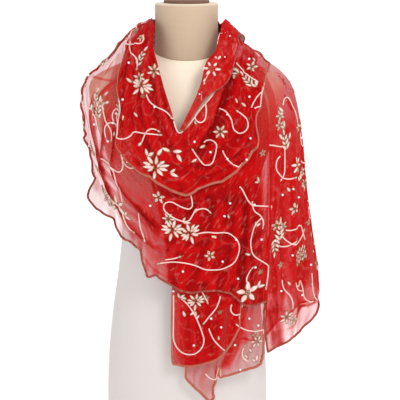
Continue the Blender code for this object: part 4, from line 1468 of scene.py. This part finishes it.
FALL_MOTIFS = (
    # kind, angle, depth, size, turn
    ("gold", 52.5, 198, 10, 10), ("twin", 55.5, 196, 15, 60), ("twin", 53.5, 222, 13, 20),
    ("spray", 53, 262, 27, 3), ("gold", 50.5, 214, 9.5, 0), ("bud", 50.5, 240, 12, 20),
    ("bud", 56, 246, 12, -20), ("star", 59.5, 300, 15.5, 10), ("twin", 62, 333, 14, 0),
    ("bloom", 68, 346, 13, 0), ("lily", 66.5, 322, 10, 0), ("gold", 79, 240, 10, 30),
    ("lily", 66, 236, 10, 0), ("gold", 53.5, 375, 11.5, 0), ("spray", 43.5, 422, 29, -8),
    ("spray", 41.5, 418, 24, 174), ("gold", 42.5, 392, 10.5, 0), ("gold", 46, 398, 9, 20),
    ("sheaf", 58.5, 486, 21, 6), ("bud", 48, 515, 10, 30), ("twin", 54.5, 530, 11, 10),
    ("bud", 52, 340, 11, 30), ("gold", 66.5, 420, 6, 0), ("twin", 71, 455, 12, -30),
    ("star", 45.5, 575, 13, 0), ("gold", 49, 585, 11, 40), ("bud", 66, 545, 9, 20),
    ("gold", 43.5, 470, 6.5, 0), ("star", 82, 520, 13.5, 0), ("bud", 75, 490, 11, 50),
)
side_vines, side_motifs, side_pearls = strewn(7, (90, 134), (150, 560), 20)
sew(
    "shoulder_fall", shoulder_fall, (0.30, 0.62), 0.138, ["form_torso_cover", "cross_drape_cloth"],
    vines=(*FALL_VINES, *side_vines),
    motifs=(*FALL_MOTIFS, *side_motifs),
    pearls=(
        (54, 338), (47, 340), (58, 360), (64, 500), (70, 260), (50, 460), (41.5, 420), (57, 550),
        (43, 520), (68, 380), (72, 400), *side_pearls,
    ),
    free=(0.15, 0.9),
)


# The studio table and light. A wide pale table under a white surround, with one large soft light
# above and to the right of the front, and a weaker one from the left.
TABLE_HALF = 40.0
TABLE_WHITE = (0.93, 0.93, 0.93, 1)
TABLE_SHADE = (0.90, 0.90, 0.90, 1)
TABLE_GLOW = 0.34
LIGHT_AIM = np.array([0.0, 0.0, 0.45])
SURROUND_WHITE = (1, 1, 1, 1)
SURROUND_STRENGTH = 0.75


def table_colour(wire):
    """Nearly white, a little uneven."""
    return (wire.place().noise(0.6) * 0.3).tint(TABLE_WHITE, TABLE_SHADE)


table_mesh = bpy.data.meshes.new("table")
corners = np.array([(-1, -1, 0), (1, -1, 0), (1, 1, 0), (-1, 1, 0)]) * TABLE_HALF
table_mesh.from_pydata(corners.tolist(), [], [(0, 1, 2, 3)])
table_mesh.materials.append(finish(
    "pale_table", table_colour, 0.9, Emission_Color=SURROUND_WHITE, Emission_Strength=TABLE_GLOW,
))
table = bpy.data.objects.new("table", table_mesh)
bpy.context.scene.collection.objects.link(table)

for name, place, size, power in (
    ("key_light", (1.5, -2.3, 2.6), 1.1, 56),
    ("fill_light", (-2.4, -2.2, 1.6), 1.6, 14),
):
    lamp = bpy.data.lights.new(name, "AREA")
    lamp.size = size
    lamp.energy = power
    light = bpy.data.objects.new(name, lamp)
    aim = LIGHT_AIM - np.array(place)
    across, along = np.hypot(aim[0], aim[1]), np.arctan2(aim[0], -aim[1])
    light.location = place
    light.rotation_euler = (np.arctan2(across, -aim[2]), 0, np.pi + along)
    bpy.context.scene.collection.objects.link(light)

surround = bpy.data.worlds.new("surround")
surround.use_nodes = True
background = surround.node_tree.nodes["Background"]
background.inputs["Color"].default_value = SURROUND_WHITE
background.inputs["Strength"].default_value = SURROUND_STRENGTH
bpy.context.scene.world = surround
bpy.context.scene.view_settings.view_transform = "Standard"
